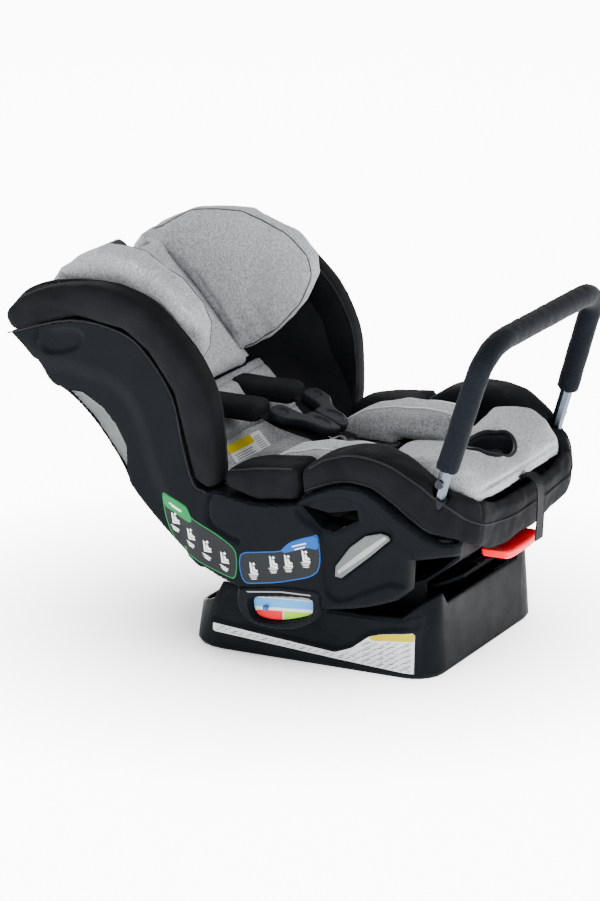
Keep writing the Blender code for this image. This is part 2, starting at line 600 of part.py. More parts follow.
def headrest():
    def wing_view(side, inner):
        def place(t, n, depth):
            return back_view(side * (inner + depth + HEAD_FLARE * max(0.0, n)), t, n)
        return place

    plate = [(-0.098, 0.181), (0.098, 0.181), (0.100, 0.300), (0.090, 0.398), (-0.090, 0.398),
             (-0.100, 0.300)]
    frame = extrude("headrest_frame", plate, -0.0090, -0.0040, back_view, "shell_plastic")
    for name, side in SIDES:
        lug = [(side * RAIL_X - 0.011, 0.188), (side * RAIL_X + 0.011, 0.188),
               (side * RAIL_X + 0.011, 0.214), (side * RAIL_X - 0.011, 0.214)]
        combine(frame, extrude(f"lug_{name}", lug, -0.0265, -0.0080, back_view, "steel"), "UNION")
        combine(frame, rod(f"lug_bore_{name}", back_view(side * RAIL_X, 0.17, -0.0195),
                           back_view(side * RAIL_X, 0.24, -0.0195), RAIL_R + GAP, "steel", 14))
        wing = extrude(f"headrest_wing_{name}", HEAD_WING, 0.0, 0.038, wing_view(side, 0.0885),
                       "grey_fabric")
        round_edges(wing, 0.010, 2, 50)
    pad = [(-0.088, 0.1785), (0.088, 0.1785), (0.088, 0.408), (-0.088, 0.408)]
    cushion = extrude("headrest_pad", pad, -0.0034, 0.014, back_view, "grey_fabric")
    round_edges(cushion, 0.006, 2, 50)
    lever = [(-0.038, 0.4020), (0.038, 0.4020), (0.038, 0.424), (0.030, 0.434), (-0.030, 0.434),
             (-0.038, 0.424)]
    grip = extrude("headrest_handle", lever, -0.028, -0.0105, back_view, "clip_plastic")
    round_edges(grip, 0.004, 2, 30)


# ---- Harness ------------------------------------------------------------------------------------
def harness():
    body = [(-0.022, 0.0), (0.022, 0.0), (0.026, 0.024), (0.024, 0.040), (-0.024, 0.040),
            (-0.026, 0.024)]
    buckle = extrude("crotch_buckle", body, -0.008, 0.008, buckle_view, "clip_plastic")
    button = [(-0.014, 0.006), (0.014, 0.006), (0.014, 0.026), (-0.014, 0.026)]
    combine(buckle, extrude("button_well", inset(button, -GAP), 0.0024, 0.02, buckle_view, "steel"))
    extrude("buckle_button", button, 0.0070, 0.0095, buckle_view, "red_plastic")
    strap("crotch_strap", [(0, -0.1135, 0.2160), (0, -0.1105, 0.2280), (0, -0.1095, 0.2400),
                           (0, -0.1095, 0.2475), buckle_view(0, -0.001, -0.001)], 0.036, 0.0025,
          "webbing")
    for name, side in SIDES:
        tongue = [(side * 0.0025, 0.0405), (side * 0.024, 0.0405), (side * 0.036, 0.0520),
                  (side * 0.036, 0.0580), (side * 0.0035, 0.0580)]
        extrude(f"buckle_tongue_{name}", tongue, -0.0015, 0.0015, buckle_view, "steel")
        shoulder = [clip_view(side * 0.053, 0.045, 0), clip_view(side * 0.052, 0.022, 0),
                    clip_view(side * 0.044, 0.000, 0), clip_view(side * 0.030, -0.026, 0),
                    buckle_view(side * 0.021, 0.064, 0.006), buckle_view(side * 0.020, 0.050, 0.0045)]
        strap(f"shoulder_strap_{name}", shoulder, 0.036, 0.002, "webbing")
        lap = [(side * 0.0860, -0.0330, 0.2600), (side * 0.0700, -0.0440, 0.2605),
               (side * 0.0500, -0.0525, 0.2610), buckle_view(side * 0.0290, 0.0490, -0.0045)]
        strap(f"lap_strap_{name}", lap, 0.024, 0.002, "webbing", BUCKLE_UP)
        pad = [(0.030, 0.306), (0.030, 0.332), (0.121, 0.332), (0.099, 0.306)]
        wrap = extrude(f"shoulder_pad_{name}", pad, side * 0.030, side * 0.076, side_view,
                       "black_fabric")
        round_edges(wrap, 0.008, 2, 40)
        half = [(side * 0.002, -0.044), (side * 0.018, -0.048), (side * 0.036, -0.036),
                (side * 0.046, -0.008), (side * 0.070, 0.012), (side * 0.070, 0.038),
                (side * 0.036, 0.040), (side * 0.026, 0.006), (side * 0.002, 0.000)]
        clip = extrude(f"chest_clip_{name}", half, 0.0065, 0.0165, clip_view, "clip_plastic")
        round_edges(clip, 0.002, 1, 40)
    strap("adjuster_strap", [(0, -0.3475, 0.2600), (0, -0.3620, 0.2620), (0, -0.3745, 0.2480),
                             (0, -0.3760, 0.2150), (0, -0.3740, 0.1700)], 0.026, 0.002, "webbing")


# ---- Anti-rebound bar ---------------------------------------------------------------------------
def bar_path():
    """The bar's centre line from one foot over the top to the other."""
    top = [(0.186, -0.370, 0.467), (0.163, -0.375, 0.484), (0.130, *BAR_TOP), (0.060, *BAR_TOP),
           (0.0, *BAR_TOP)]
    left = through([*BAR_LEG, *top], 2)
    return left + [(-x, y, z) for x, y, z in reversed(left[:-1])]


def rebound_bar():
    path = bar_path()
    tube("rebound_bar_tube", path, BAR_TUBE_R, "steel", 2)
    covered = [p for p in path if p[2] > FOAM_FROM["left" if p[0] > 0 else "right"]]
    foam = bent_rod("rebound_bar_foam", covered, BAR_FOAM_R, "foam")
    combine(foam, bent_rod("foam_bore", path, BAR_TUBE_R + GAP, "foam"))
    for name, side in SIDES:
        low, high = (Vector((side * x, y, z)) for x, y, z in BAR_LEG[:2])
        along = (high - low).normalized()
        socket = rod(f"bar_socket_{name}", low - along * 0.004, high - along * 0.002, 0.0137,
                     "clip_plastic", 16)
        combine(socket, rod(f"socket_bore_{name}", low - along * GAP, high + along * 0.05,
                            BAR_TUBE_R + GAP, "steel", 16))
        place = high + along * 0.021
        rod(f"rebound_bar_bolt_{name}", place + Vector((side * (BAR_TUBE_R + GAP), 0, 0)),
            place + Vector((side * (BAR_TUBE_R + 0.0045), 0, 0)), 0.0062, "steel", 12)


def main():
    for piece in list(bpy.data.objects):
        bpy.data.objects.remove(piece)
    base()
    shell_core()
    recline_release()
    for name, side in SIDES:
        side_panel(name, side)
        indicator(name, side)
        wing_and_bolster(name, side)
    rim_cover()
    pads()
    pan()
    headrest()
    harness()
    rebound_bar()


main()
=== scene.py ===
"""Looks of a convertible child car seat: padded covers, moulded shell, harness, labels and base.

Metres, +Z up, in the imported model's own frame. The child faces -Y and +X is the child's left.
"""

import math

import bmesh
import bpy
import numpy as np
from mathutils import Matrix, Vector, noise
from mathutils.bvhtree import BVHTree
from mathutils.geometry import delaunay_2d_cdt


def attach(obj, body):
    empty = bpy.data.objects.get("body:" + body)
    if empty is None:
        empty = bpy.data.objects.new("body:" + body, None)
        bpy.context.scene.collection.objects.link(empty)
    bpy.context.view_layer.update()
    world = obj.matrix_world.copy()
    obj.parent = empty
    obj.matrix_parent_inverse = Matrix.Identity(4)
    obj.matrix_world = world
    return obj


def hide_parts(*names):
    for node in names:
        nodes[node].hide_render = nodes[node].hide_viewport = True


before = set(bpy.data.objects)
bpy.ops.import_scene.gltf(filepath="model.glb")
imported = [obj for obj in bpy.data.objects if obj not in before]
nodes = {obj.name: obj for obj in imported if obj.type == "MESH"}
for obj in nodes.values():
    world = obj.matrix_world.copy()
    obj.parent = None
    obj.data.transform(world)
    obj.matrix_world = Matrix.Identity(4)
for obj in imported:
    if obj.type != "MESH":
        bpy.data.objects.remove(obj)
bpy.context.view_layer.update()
SIDES = (("left", 1.0), ("right", -1.0))

# ---- Shapes shared with the solids --------------------------------------------------------------
BACK_FOOT = Vector((0.0, 0.014, 0.205))
BACK_UP = Vector((0.0, 0.66, 0.75)).normalized()
BACK_OUT = Vector((0.0, -0.75, 0.66)).normalized()
BUCKLE_FOOT = Vector((0.0, -0.1040, 0.2525))
BUCKLE_UP = Vector((0.0, 0.96, 0.28))
BUCKLE_OUT = Vector((0.0, -0.28, 0.96))
CLIP_CENTRE = Vector((0.0, -0.017, 0.295))
CLIP_UP = Vector((0.0, 0.93, 0.37)).normalized()
CLIP_OUT = Vector((0.0, -0.37, 0.93)).normalized()
PIVOT = (-0.120, 0.450)
WING_EDGE = ((0.354, 0.466), (0.326, 0.494), (0.280, 0.512), (0.228, 0.522), (0.173, 0.521),
             (0.118, 0.502), (0.071, 0.464), (0.040, 0.428), (0.017, 0.384), (0.008, 0.335),
             (0.006, 0.281), (0.010, 0.256))
WING_SEAM = ((0.025, 0.247), (0.046, 0.258), (0.063, 0.314), (0.079, 0.379), (0.118, 0.433),
             (0.158, 0.460), (0.237, 0.469), (0.340, 0.439))
WING_FLARE = 0.09
HEAD_INNER, HEAD_FLARE = 0.0885, 0.42
OVAL_Y = -0.297
FRONT_SEAM = ((0.158, -0.236, 0.268), (0.160, -0.280, 0.268), (0.154, -0.322, 0.268),
              (0.120, -0.344, 0.271), (0.060, -0.349, 0.272), (0.0, -0.350, 0.272))
WEB = 0.036
FILM_THICK = 0.00018
BOLSTER_SEAM = ((0.015, 0.250), (-0.050, 0.240), (-0.112, 0.248))
RIM_SEAM = ((-0.122, 0.254), (-0.176, 0.276), (-0.221, 0.273), (-0.267, 0.243), (-0.312, 0.209),
            (-0.340, 0.204))
PANEL_BACK = ((0.298, 0.403), (0.276, 0.368), (0.255, 0.366), (0.207, 0.327), (0.165, 0.271),
              (0.157, 0.255), (0.149, 0.234), (0.100, 0.185), (0.060, 0.151))
INSET = ((-0.172, 0.152), (-0.173, 0.167), (-0.195, 0.197), (-0.218, 0.216), (-0.241, 0.223),
         (-0.252, 0.221), (-0.255, 0.2155), (-0.223, 0.186), (-0.182, 0.151))
INDICATOR = ((-0.022, 0.110), (-0.022, 0.088), (-0.033, 0.072), (-0.055, 0.064), (-0.094, 0.064),
             (-0.128, 0.075), (-0.147, 0.092), (-0.150, 0.119), (-0.142, 0.127), (-0.085, 0.125),
             (-0.031, 0.116))
BELT_SLOT = ((-0.118, 0.246), (-0.148, 0.217), (-0.168, 0.2135), (-0.206, 0.235),
             (-0.203, 0.2495), (-0.160, 0.2400))
PANEL_CORNER = ((0.2345, -0.262), (0.2195, -0.302), (0.1965, -0.3335), (0.168, -0.346))


def tilted(foot, up, out):
    """A function that places (x, along, out) of a tilted plane in the frame."""
    return lambda x, t, n: foot + Vector((x, 0, 0)) + up * t + out * n


back = tilted(BACK_FOOT, BACK_UP, BACK_OUT)
buckle = tilted(BUCKLE_FOOT, BUCKLE_UP, BUCKLE_OUT)
clip = tilted(CLIP_CENTRE, CLIP_UP, CLIP_OUT)


def outward(side):
    """A function that places side-view points (y, z) at x from the middle, on one side."""
    return lambda y, z, x: Vector((side * x, y, z))


def flank(side, points, x=None):
    """Points on one side: side-view ones at distance x from the middle, or 3-D ones."""
    return [Vector((side * p[0], *p[1:]) if x is None else (side * x, *p)) for p in points]


def level(height):
    """A flat surface, for field and printer."""
    return lambda flat: np.full(len(flat), height)


def through(points, steps=3, closed=False):
    """A Catmull-Rom curve through the points."""
    points = [Vector(p) for p in points]
    if closed:
        padded = [points[-1], *points, points[0], points[1]]
    else:
        padded = [2 * points[0] - points[1], *points, 2 * points[-1] - points[-2]]
    curve = []
    for a, b, c, d in zip(padded, padded[1:], padded[2:], padded[3:]):
        for i in range(steps):
            t = i / steps
            curve.append(0.5 * (2 * b + (c - a) * t + (2 * a - 5 * b + 4 * c - d) * t * t
                                + (3 * b - a - 3 * c + d) * t * t * t))
    return curve if closed else [*curve, points[-1]]


def even(points, spacing, closed=False):
    """The polyline resampled at about this spacing."""
    points = [Vector(p) for p in points]
    if closed:
        points = [*points, points[0]]
    lengths = [0.0]
    for a, b in zip(points, points[1:]):
        lengths.append(lengths[-1] + (b - a).length)
    count = max(2, round(lengths[-1] / spacing))
    made, k = [], 0
    for i in range(count if closed else count + 1):
        want = lengths[-1] * i / count
        while k < len(points) - 2 and lengths[k + 1] < want:
            k += 1
        share = (want - lengths[k]) / max(1e-9, lengths[k + 1] - lengths[k])
        made.append(points[k].lerp(points[k + 1], min(1.0, share)))
    return made


def distance(points, path, closed=False):
    """The distance of each row of points to the polyline, in any number of dimensions."""
    points = np.asarray(points, float)
    path = np.asarray([tuple(p) for p in path], float)
    ends = np.roll(path, -1, axis=0) if closed else path[1:]
    best = np.full(len(points), 1e9)
    for a, b in zip(path, ends):
        run = b - a
        share = np.clip(((points - a) @ run) / max(1e-12, run @ run), 0, 1)
        best = np.minimum(best, np.linalg.norm(points - (a + share[:, None] * run), axis=1))
    return best


def inside(points, outline):
    """Which rows of 2-D points lie in the closed outline."""
    points = np.asarray(points, float)
    outline = np.asarray([tuple(p) for p in outline], float)
    hit = np.zeros(len(points), bool)
    for (x0, y0), (x1, y1) in zip(outline, np.roll(outline, -1, axis=0)):
        if y0 == y1:
            continue
        crosses = (points[:, 1] < y0) != (points[:, 1] < y1)
        hit ^= crosses & (points[:, 0] < x0 + (x1 - x0) * (points[:, 1] - y0) / (y1 - y0))
    return hit


def signed(points, outline):
    """Distance to a closed outline, positive inside."""
    return np.where(inside(points, outline), 1, -1) * distance(points, outline, True)


def step(value, low, high):
    share = np.clip((value - low) / (high - low), 0, 1)
    return share * share * (3 - 2 * share)


def bump(away, width):
    """A bell-shaped rise round where away is 0."""
    return np.exp(-(away / width) ** 2)


def rolled(depth, radius):
    """How far a rounded edge of this radius falls away at each depth inside the outline."""
    depth = np.clip(depth, 0, radius)
    return radius - np.sqrt(np.maximum(0, radius ** 2 - (radius - depth) ** 2))


def heading(points, i, closed=False):
    """The direction of a polyline at its point i."""
    last = len(points) - 1
    before = i - 1 if closed else max(i - 1, 0)
    after = (i + 1) % len(points) if closed else min(i + 1, last)
    return (points[after] - points[before]).normalized()


# ---- Materials ----------------------------------------------------------------------------------
class Net:
    """A material's node tree round one Principled shader."""

    def __init__(self, name, colour, roughness, metallic=0.0, **sockets):
        self.material = bpy.data.materials.new(name)
        self.material.use_nodes = True
        self.tree = self.material.node_tree
        self.shader = self.tree.nodes["Principled BSDF"]
        self.set(self.shader, {"Base Color": (*colour, 1.0), "Roughness": roughness,
                               "Metallic": metallic})
        self.set(self.shader, {key.replace("_", " "): value for key, value in sockets.items()})
        self.place = self.add("TexCoord").outputs["Object"]
        self.material.diffuse_color = (*colour, 1.0)
        self.height = None

    def set(self, node, values):
        for key, value in values.items():
            if isinstance(value, bpy.types.NodeSocket):
                self.tree.links.new(value, node.inputs[key])
            else:
                node.inputs[key].default_value = value

    def add(self, kind, inputs=None, **settings):
        node = self.tree.nodes.new("ShaderNode" + kind)
        for key, value in settings.items():
            setattr(node, key, value)
        self.set(node, inputs or {})
        return node

    def stretch(self, scale):
        return self.add("Mapping", {"Vector": self.place, "Scale": scale}).outputs["Vector"]

    def noise(self, scale, detail=2.0, rough=0.5, vector=None):
        return self.add("TexNoise", {"Vector": vector or self.place, "Scale": scale,
                                     "Detail": detail, "Roughness": rough}).outputs["Fac"]

    def cells(self, scale):
        return self.add("TexVoronoi", {"Vector": self.place, "Scale": scale}).outputs["Distance"]

    def wave(self, scale, direction, distortion=0.0):
        inputs = {"Vector": self.place, "Scale": scale, "Distortion": distortion, "Detail": 1.0}
        return self.add("TexWave", inputs, wave_type="BANDS", bands_direction=direction,
                        wave_profile="SIN").outputs["Fac"]

    def math(self, operation, a, b):
        return self.add("Math", {0: a, 1: b}, operation=operation).outputs[0]

    def ramp(self, fac, *stops):
        node = self.add("ValToRGB", {"Fac": fac})
        elements = node.color_ramp.elements
        while len(elements) < len(stops):
            elements.new(0.5)
        for element, (place, colour) in zip(elements, stops):
            element.position = place
            element.color = (*(colour if isinstance(colour, tuple) else (colour,) * 3), 1.0)
        return node.outputs["Color"]

    def times(self, a, b):
        """The product of two colours."""
        return self.add("Mix", {0: 1.0, 6: a, 7: b}, data_type="RGBA",
                        blend_type="MULTIPLY").outputs[2]

    def feed(self, **sockets):
        self.set(self.shader, {key.replace("_", " "): value for key, value in sockets.items()})

    def bump(self, socket, strength, depth):
        values = {"Height": socket, "Strength": strength, "Distance": depth}
        if self.height:
            values["Normal"] = self.height
        self.height = self.add("Bump", values).outputs["Normal"]
        self.feed(Normal=self.height)
        return self


def heather():
    """Light grey woven cloth with short darker and paler threads in both directions."""
    net = Net("heather_cloth", (0.30, 0.31, 0.33), 0.92, Sheen_Weight=0.03, Sheen_Roughness=0.6,
              Specular_IOR_Level=0.1)
    weft = net.noise(420, 2.0, 0.6, net.stretch((0.30, 1.5, 1.5)))
    warp = net.noise(420, 2.0, 0.6, net.stretch((1.8, 0.6, 0.6)))
    both = net.math("ADD", net.math("MULTIPLY", weft, 0.5), net.math("MULTIPLY", warp, 0.5))
    fleck = net.noise(900, 1.0)
    all_three = net.math("ADD", net.math("MULTIPLY", both, 0.72),
                         net.math("MULTIPLY", fleck, 0.28))
    threads = net.ramp(all_three, (0.38, (0.092, 0.096, 0.102)), (0.46, (0.178, 0.184, 0.192)),
                       (0.53, (0.226, 0.233, 0.242)), (0.62, (0.305, 0.313, 0.322)))
    cloud = net.ramp(net.noise(9, 3.0), (0.35, 0.90), (0.65, 1.0))
    net.feed(Base_Color=net.times(threads, cloud))
    net.bump(net.math("MAXIMUM", net.wave(200, "X", 1.0), net.wave(210, "Z", 1.0)), 0.25, 0.0004)
    return net.bump(all_three, 0.35, 0.0007).material


def scaled(colour, share):
    return tuple(c * share for c in colour)


def cloth(name, colour, grain=420, sheen=0.3):
    """Plain knitted or woven cloth in one dark colour, a little uneven."""
    net = Net(name, colour, 0.85, Sheen_Weight=sheen, Sheen_Roughness=0.45,
              Sheen_Tint=(0.2, 0.2, 0.22, 1.0), Specular_IOR_Level=0.04)
    shade = net.ramp(net.noise(14, 4.0), (0.3, scaled(colour, 0.72)), (0.7, scaled(colour, 1.25)))
    thread = net.ramp(net.noise(grain, 2.0, 0.6), (0.3, 0.75), (0.7, 1.0))
    net.feed(Base_Color=net.times(shade, thread),
             Roughness=net.ramp(net.noise(30), (0.3, 0.78), (0.7, 0.92)))
    net.bump(net.math("MAXIMUM", net.wave(230, "Y", 0.6), net.wave(230, "Z", 0.6)), 0.25, 0.0004)
    return net.bump(net.noise(90, 3.0), 0.12, 0.0008).material


def plastic(name, colour, roughness, grain=700, wear=1.5, gloss=0.12, **sockets):
    """Moulded plastic with a fine grain and slightly rubbed patches."""
    net = Net(name, colour, roughness, Specular_IOR_Level=gloss, **sockets)
    net.feed(Base_Color=net.ramp(net.noise(22, 5.0, 0.65), (0.35, colour),
                                 (0.75, scaled(colour, wear))),
             Roughness=net.ramp(net.noise(40, 4.0), (0.3, roughness * 0.88),
                                (0.7, min(1.0, roughness * 1.15))))
    return net.bump(net.cells(grain), 0.10, 0.00025).material


def metal(name, colour, roughness):
    """Drawn steel, brushed along its length."""
    net = Net(name, colour, roughness, 1.0)
    net.feed(Roughness=net.ramp(net.noise(60, 3.0, 0.5, net.stretch((1, 1, 0.08))),
                                (0.3, roughness * 0.7), (0.7, roughness * 1.5)))
    return net.bump(net.noise(500, 2.0, 0.5, net.stretch((1, 1, 0.05))), 0.06, 0.0002).material


def webbing(name, colour):
    """Seat-belt webbing: ribs across the run and a slight sheen."""
    net = Net(name, colour, 0.60, Specular_IOR_Level=0.03)
    net.feed(Base_Color=net.ramp(net.noise(200), (0.3, scaled(colour, 0.7)),
                                 (0.7, scaled(colour, 1.4))))
    net.bump(net.wave(170, "X", 0.2), 0.5, 0.0005)
    return net.bump(net.wave(120, "Y", 0.2), 0.3, 0.0003).material


def foam_skin():
    """The closed skin of the foam sleeve."""
    net = Net("bar_foam", (0.0042, 0.0058, 0.0088), 0.80, Sheen_Weight=0.03,
              Sheen_Roughness=0.4, Specular_IOR_Level=0.03)
    net.feed(Base_Color=net.ramp(net.noise(260, 3.0, 0.6), (0.3, (0.0020, 0.0027, 0.0040)),
                                 (0.7, (0.0036, 0.0047, 0.0066))))
    return net.bump(net.cells(600), 0.35, 0.0005).material


def paper(name, colour):
    """A printed label's film."""
    net = Net(name, colour, 0.35, Specular_IOR_Level=0.05)
    net.feed(Base_Color=net.ramp(net.noise(35), (0.3, scaled(colour, 0.93)), (0.7, colour)))
    return net.bump(net.noise(150), 0.05, 0.0002).material


FINISHES = {
    "grey_fabric": heather(),
    "black_fabric": cloth("black_cover", (0.0031, 0.0035, 0.0042), sheen=0.012),
    "lining": cloth("black_lining", (0.0075, 0.0080, 0.0092), 300, 0.015),
    "piping": cloth("cover_piping", (0.0095, 0.0100, 0.0110), 500, 0.05),
    "pale_piping": cloth("pale_piping", (0.44, 0.45, 0.47), 500, 0.1),
    # The headrest's seam cord: its dark grey is painted crease shade where the wing meets the centre
    # pad.
    "seam": cloth("seam_thread", (0.045, 0.047, 0.050), 700, 0.05),
    "shell_plastic": plastic("shell_plastic_grain", (0.0027, 0.0033, 0.0041), 0.45, 700, 1.2, 0.013),
    "base_plastic": plastic("base_plastic_grain", (0.0034, 0.0042, 0.0051), 0.42, gloss=0.013),
    "clip_plastic": plastic("clip_plastic_grain", (0.0048, 0.0058, 0.0072), 0.34, gloss=0.035),
    "pale_plastic": plastic("pale_plastic_grain", (0.058, 0.063, 0.065), 0.45, 700, 1.15, 0.06),
    "red_plastic": plastic("red_plastic_gloss", (0.58, 0.0015, 0.009), 0.30, 900, 1.1, 0.05),
    "grip_rubber": plastic("grip_rubber_grain", (0.03, 0.03, 0.033), 0.9, 500, 1.2),
    "ball_blue": plastic("level_ball", (0.010, 0.045, 0.22), 0.15, 900, 1.1,
                         Coat_Weight=0.4, Coat_Roughness=0.25),
    "steel": metal("bar_steel", (0.046, 0.055, 0.066), 0.26),
    "dark_steel": metal("bolt_steel", (0.009, 0.0105, 0.013), 0.30),
    "webbing": webbing("harness_webbing", (0.0036, 0.0040, 0.0048)),
    "foam": foam_skin(),
    "pale_strip": paper("inset_strip_film", (0.17, 0.175, 0.17)),
}
for tint, colour in (("white", (0.44, 0.45, 0.46)), ("grey", (0.15, 0.155, 0.16)),
                     ("text", (0.042, 0.044, 0.047)), ("black", (0.006, 0.007, 0.008)),
                     ("green", (0.004, 0.095, 0.027)), ("blue", (0.003, 0.044, 0.175)),
                     ("sky", (0.055, 0.22, 0.46)), ("yellow", (0.36, 0.285, 0.001)),
                     ("red", (0.50, 0.008, 0.014)), ("lime", (0.22, 0.42, 0.02))):
    FINISHES["label_" + tint] = paper("label_" + tint, colour)
# The material slot a finish belongs to, where its own name isn't one.
SLOT_OF = {finish: "pale_plastic" for finish in FINISHES if finish.startswith("label_")}
# seam is the headrest's dark cord of painted crease shade.
SLOT_OF.update(pale_strip="pale_plastic", lining="black_fabric", piping="black_fabric",
               pale_piping="grey_fabric", seam="grey_fabric")


# ---- Meshes -------------------------------------------------------------------------------------
def link(name, data):
    piece = bpy.data.objects.new(name, data)
    bpy.context.scene.collection.objects.link(piece)
    return piece


def from_bmesh(name, bm, sharp=40):
    bmesh.ops.recalc_face_normals(bm, faces=bm.faces)
    mesh = bpy.data.meshes.new(name)
    bm.to_mesh(mesh)
    bm.free()
    piece = link(name, mesh)
    shade(piece, sharp)
    return piece


def shade(piece, sharp=40):
    piece.data.shade_smooth()
    piece.data.set_sharp_from_angle(angle=math.radians(sharp))


def modify(piece, kind, **settings):
    modifier = piece.modifiers.new(kind.lower(), kind)
    for key, value in settings.items():
        setattr(modifier, key, value)
    return modifier


def apply(piece):
    """Puts the modifiers' result into the mesh."""
    bpy.context.view_layer.update()
    graph = bpy.context.evaluated_depsgraph_get()
    made = bpy.data.meshes.new_from_object(piece.evaluated_get(graph))
    piece.modifiers.clear()
    piece.data = made
    return piece


def dress(piece, finish, body, *replaced):
    """Material, body and the CAD nodes that the piece stands for."""
    piece.data.materials.clear()
    piece.data.materials.append(FINISHES[finish])
    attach(piece, body)
    if replaced:
        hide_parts(*replaced)
    return piece


def copy_of(node, name):
    """A node's mesh in a new object, its split corners joined again."""
    bm = bmesh.new()
    bm.from_mesh(nodes[node].data)
    bmesh.ops.remove_doubles(bm, verts=bm.verts, dist=2e-5)
    bmesh.ops.dissolve_limit(bm, angle_limit=math.radians(1.5), verts=bm.verts, edges=bm.edges)
    return from_bmesh(name, bm)


def mirror(piece, name):
    """The piece's mirror image, for the right-hand side."""
    bm = bmesh.new()
    bm.from_mesh(piece.data)
    for vert in bm.verts:
        vert.co.x = -vert.co.x
    bmesh.ops.reverse_faces(bm, faces=bm.faces)
    mesh = bpy.data.meshes.new(name)
    bm.to_mesh(mesh)
    bm.free()
    return link(name, mesh)


def vertex_array(piece, key="co"):
    flat = np.empty(len(piece.data.vertices) * 3)
    piece.data.vertices.foreach_get(key, flat)
    return flat.reshape(-1, 3)


def points_of(piece):
    return vertex_array(piece)


def normals_of(piece):
    return vertex_array(piece, "normal")


def put(piece, points):
    piece.data.vertices.foreach_set("co", np.ascontiguousarray(points).ravel())
    piece.data.update()


def bevelled(node, finish, body, width):
    """A hard CAD part with rounded edges, standing for its node."""
    piece = copy_of(node, node + "_body")
    modify(piece, "BEVEL", width=width, segments=3, limit_method="ANGLE",
           angle_limit=math.radians(30), use_clamp_overlap=True)
    apply(piece)
    shade(piece, 35)
    return dress(piece, finish, body, node)


def tube(name, path, radius, finish, body, sides=8, closed=False):
    """A round bar along the points."""
    points = [Vector(p) for p in path]
    rings = []
    across = Vector((0.31, 0.17, 0.93))
    for i, point in enumerate(points):
        along = heading(points, i, closed)
        across = (across - along * along.dot(across)).normalized()
        other = along.cross(across)
        rings.append([point + radius * (across * math.cos(a) + other * math.sin(a))
                      for a in (2 * math.pi * k / sides for k in range(sides))])
    return dress(loft(name, rings, closed=closed), finish, body)


def loft(name, rings, sharp=40, closed=False, caps=(True, True), round_ring=True):
    """A skin over rows of equally many points, capped at its ends or joined in a loop."""
    bm = bmesh.new()
    loops = [[bm.verts.new(point) for point in ring] for ring in rings]
    if closed:
        loops.append(loops[0])
    else:
        for loop in [loop for loop, capped in zip((loops[0], loops[-1]), caps) if capped]:
            bm.faces.new(loop)
    count = len(loops[0])
    for low, high in zip(loops, loops[1:]):
        for i in range(count if round_ring else count - 1):
            j = (i + 1) % count
            bm.faces.new((low[i], low[j], high[j], high[i]))
    return from_bmesh(name, bm, sharp)


def field(name, outline, spacing, top, bottom, view, sharp=50):
    """A closed body between two surfaces over a 2-D outline, meshed evenly inside it."""
    ring = np.array([tuple(p) for p in even(outline, spacing, True)])[:, :2]
    low, high = ring.min(0), ring.max(0)
    rows = np.arange(low[1], high[1], spacing * 0.866)
    lattice = np.array([(x + (k % 2) * spacing / 2, y) for k, y in enumerate(rows)
                        for x in np.arange(low[0], high[0], spacing)])
    lattice = lattice[signed(lattice, ring) > spacing * 0.55]
    count = len(ring)
    found = delaunay_2d_cdt([Vector(p) for p in np.vstack([ring, lattice])],
                            [(i, (i + 1) % count) for i in range(count)],
                            [list(range(count))], 1, 1e-7)
    flat = np.array([tuple(p) for p in found[0]])
    bm = bmesh.new()
    front, rear = ([bm.verts.new(view(a, b, c)) for (a, b), c in zip(flat, surface(flat))]
                   for surface in (top, bottom))
    uses = {}
    for face in found[2]:
        bm.faces.new([front[i] for i in face])
        bm.faces.new([rear[i] for i in reversed(face)])
        uses.update(dict.fromkeys(zip(face, (*face[1:], face[0]))))
    for i, j in uses:
        if (j, i) not in uses:
            bm.faces.new((front[j], front[i], rear[i], rear[j]))
    return from_bmesh(name, bm, sharp)


def cut(piece, outline, low, high, side):
    """Cuts a pocket or hole with this side-view outline."""
    cutter = loft("cutter", [flank(side, outline, x) for x in (low, high)])
    modify(piece, "BOOLEAN", operation="DIFFERENCE", solver="EXACT", object=cutter)
    apply(piece)
    bpy.data.objects.remove(cutter)


# ---- Padded covers ------------------------------------------------------------------------------
def remeshed(piece, voxel, rounds):
    """The piece with an even mesh and softened edges."""
    modify(piece, "REMESH", mode="VOXEL", voxel_size=voxel)
    modify(piece, "SMOOTH", factor=0.5, iterations=rounds)
    return apply(piece)


def blank(node, voxel, rounds, shrink):
    """A pad's mesh before it is filled."""
    piece = remeshed(copy_of(node, node + "_soft"), voxel, rounds)
    if shrink:
        put(piece, points_of(piece) - normals_of(piece) * shrink)
    return piece


FILL_FRAMES = 20
CLOTH = {"quality": 4, "mass": 0.3, "use_pressure": True, "uniform_pressure_force": 4.0,
         "tension_stiffness": 20, "compression_stiffness": 20}


def fill(pieces):
    """Blows each (piece, most it may move) up as cloth under pressure, all in one run."""
    starts = []
    for piece, _ in pieces:
        starts.append(points_of(piece))
        sim = modify(piece, "CLOTH")
        for key, value in CLOTH.items():
            setattr(sim.settings, key, value)
        sim.settings.effector_weights.gravity = 0.0
        sim.collision_settings.use_collision = False
        sim.point_cache.frame_end = FILL_FRAMES
    scene = bpy.context.scene
    for number in range(1, FILL_FRAMES + 1):
        scene.frame_set(number)
    for (piece, most), start in zip(pieces, starts):
        graph = bpy.context.evaluated_depsgraph_get()
        moved = points_of(piece.evaluated_get(graph)) - start
        length = np.linalg.norm(moved, axis=1, keepdims=True)
        scale = most * np.tanh(length / most) / np.maximum(length, 1e-9)
        piece.modifiers.clear()
        put(piece, start + moved * scale)
    scene.frame_set(1)


def finer(piece):
    modify(piece, "SUBSURF", levels=1, render_levels=1)
    return apply(piece)


def groove(piece, paths, width, depth):
    """Pulls the surface in along the paths, as a seam does."""
    points = points_of(piece)
    away = np.min([distance(points, path) for path in paths], axis=0)
    put(piece, points - normals_of(piece) * (depth * bump(away, width))[:, None])


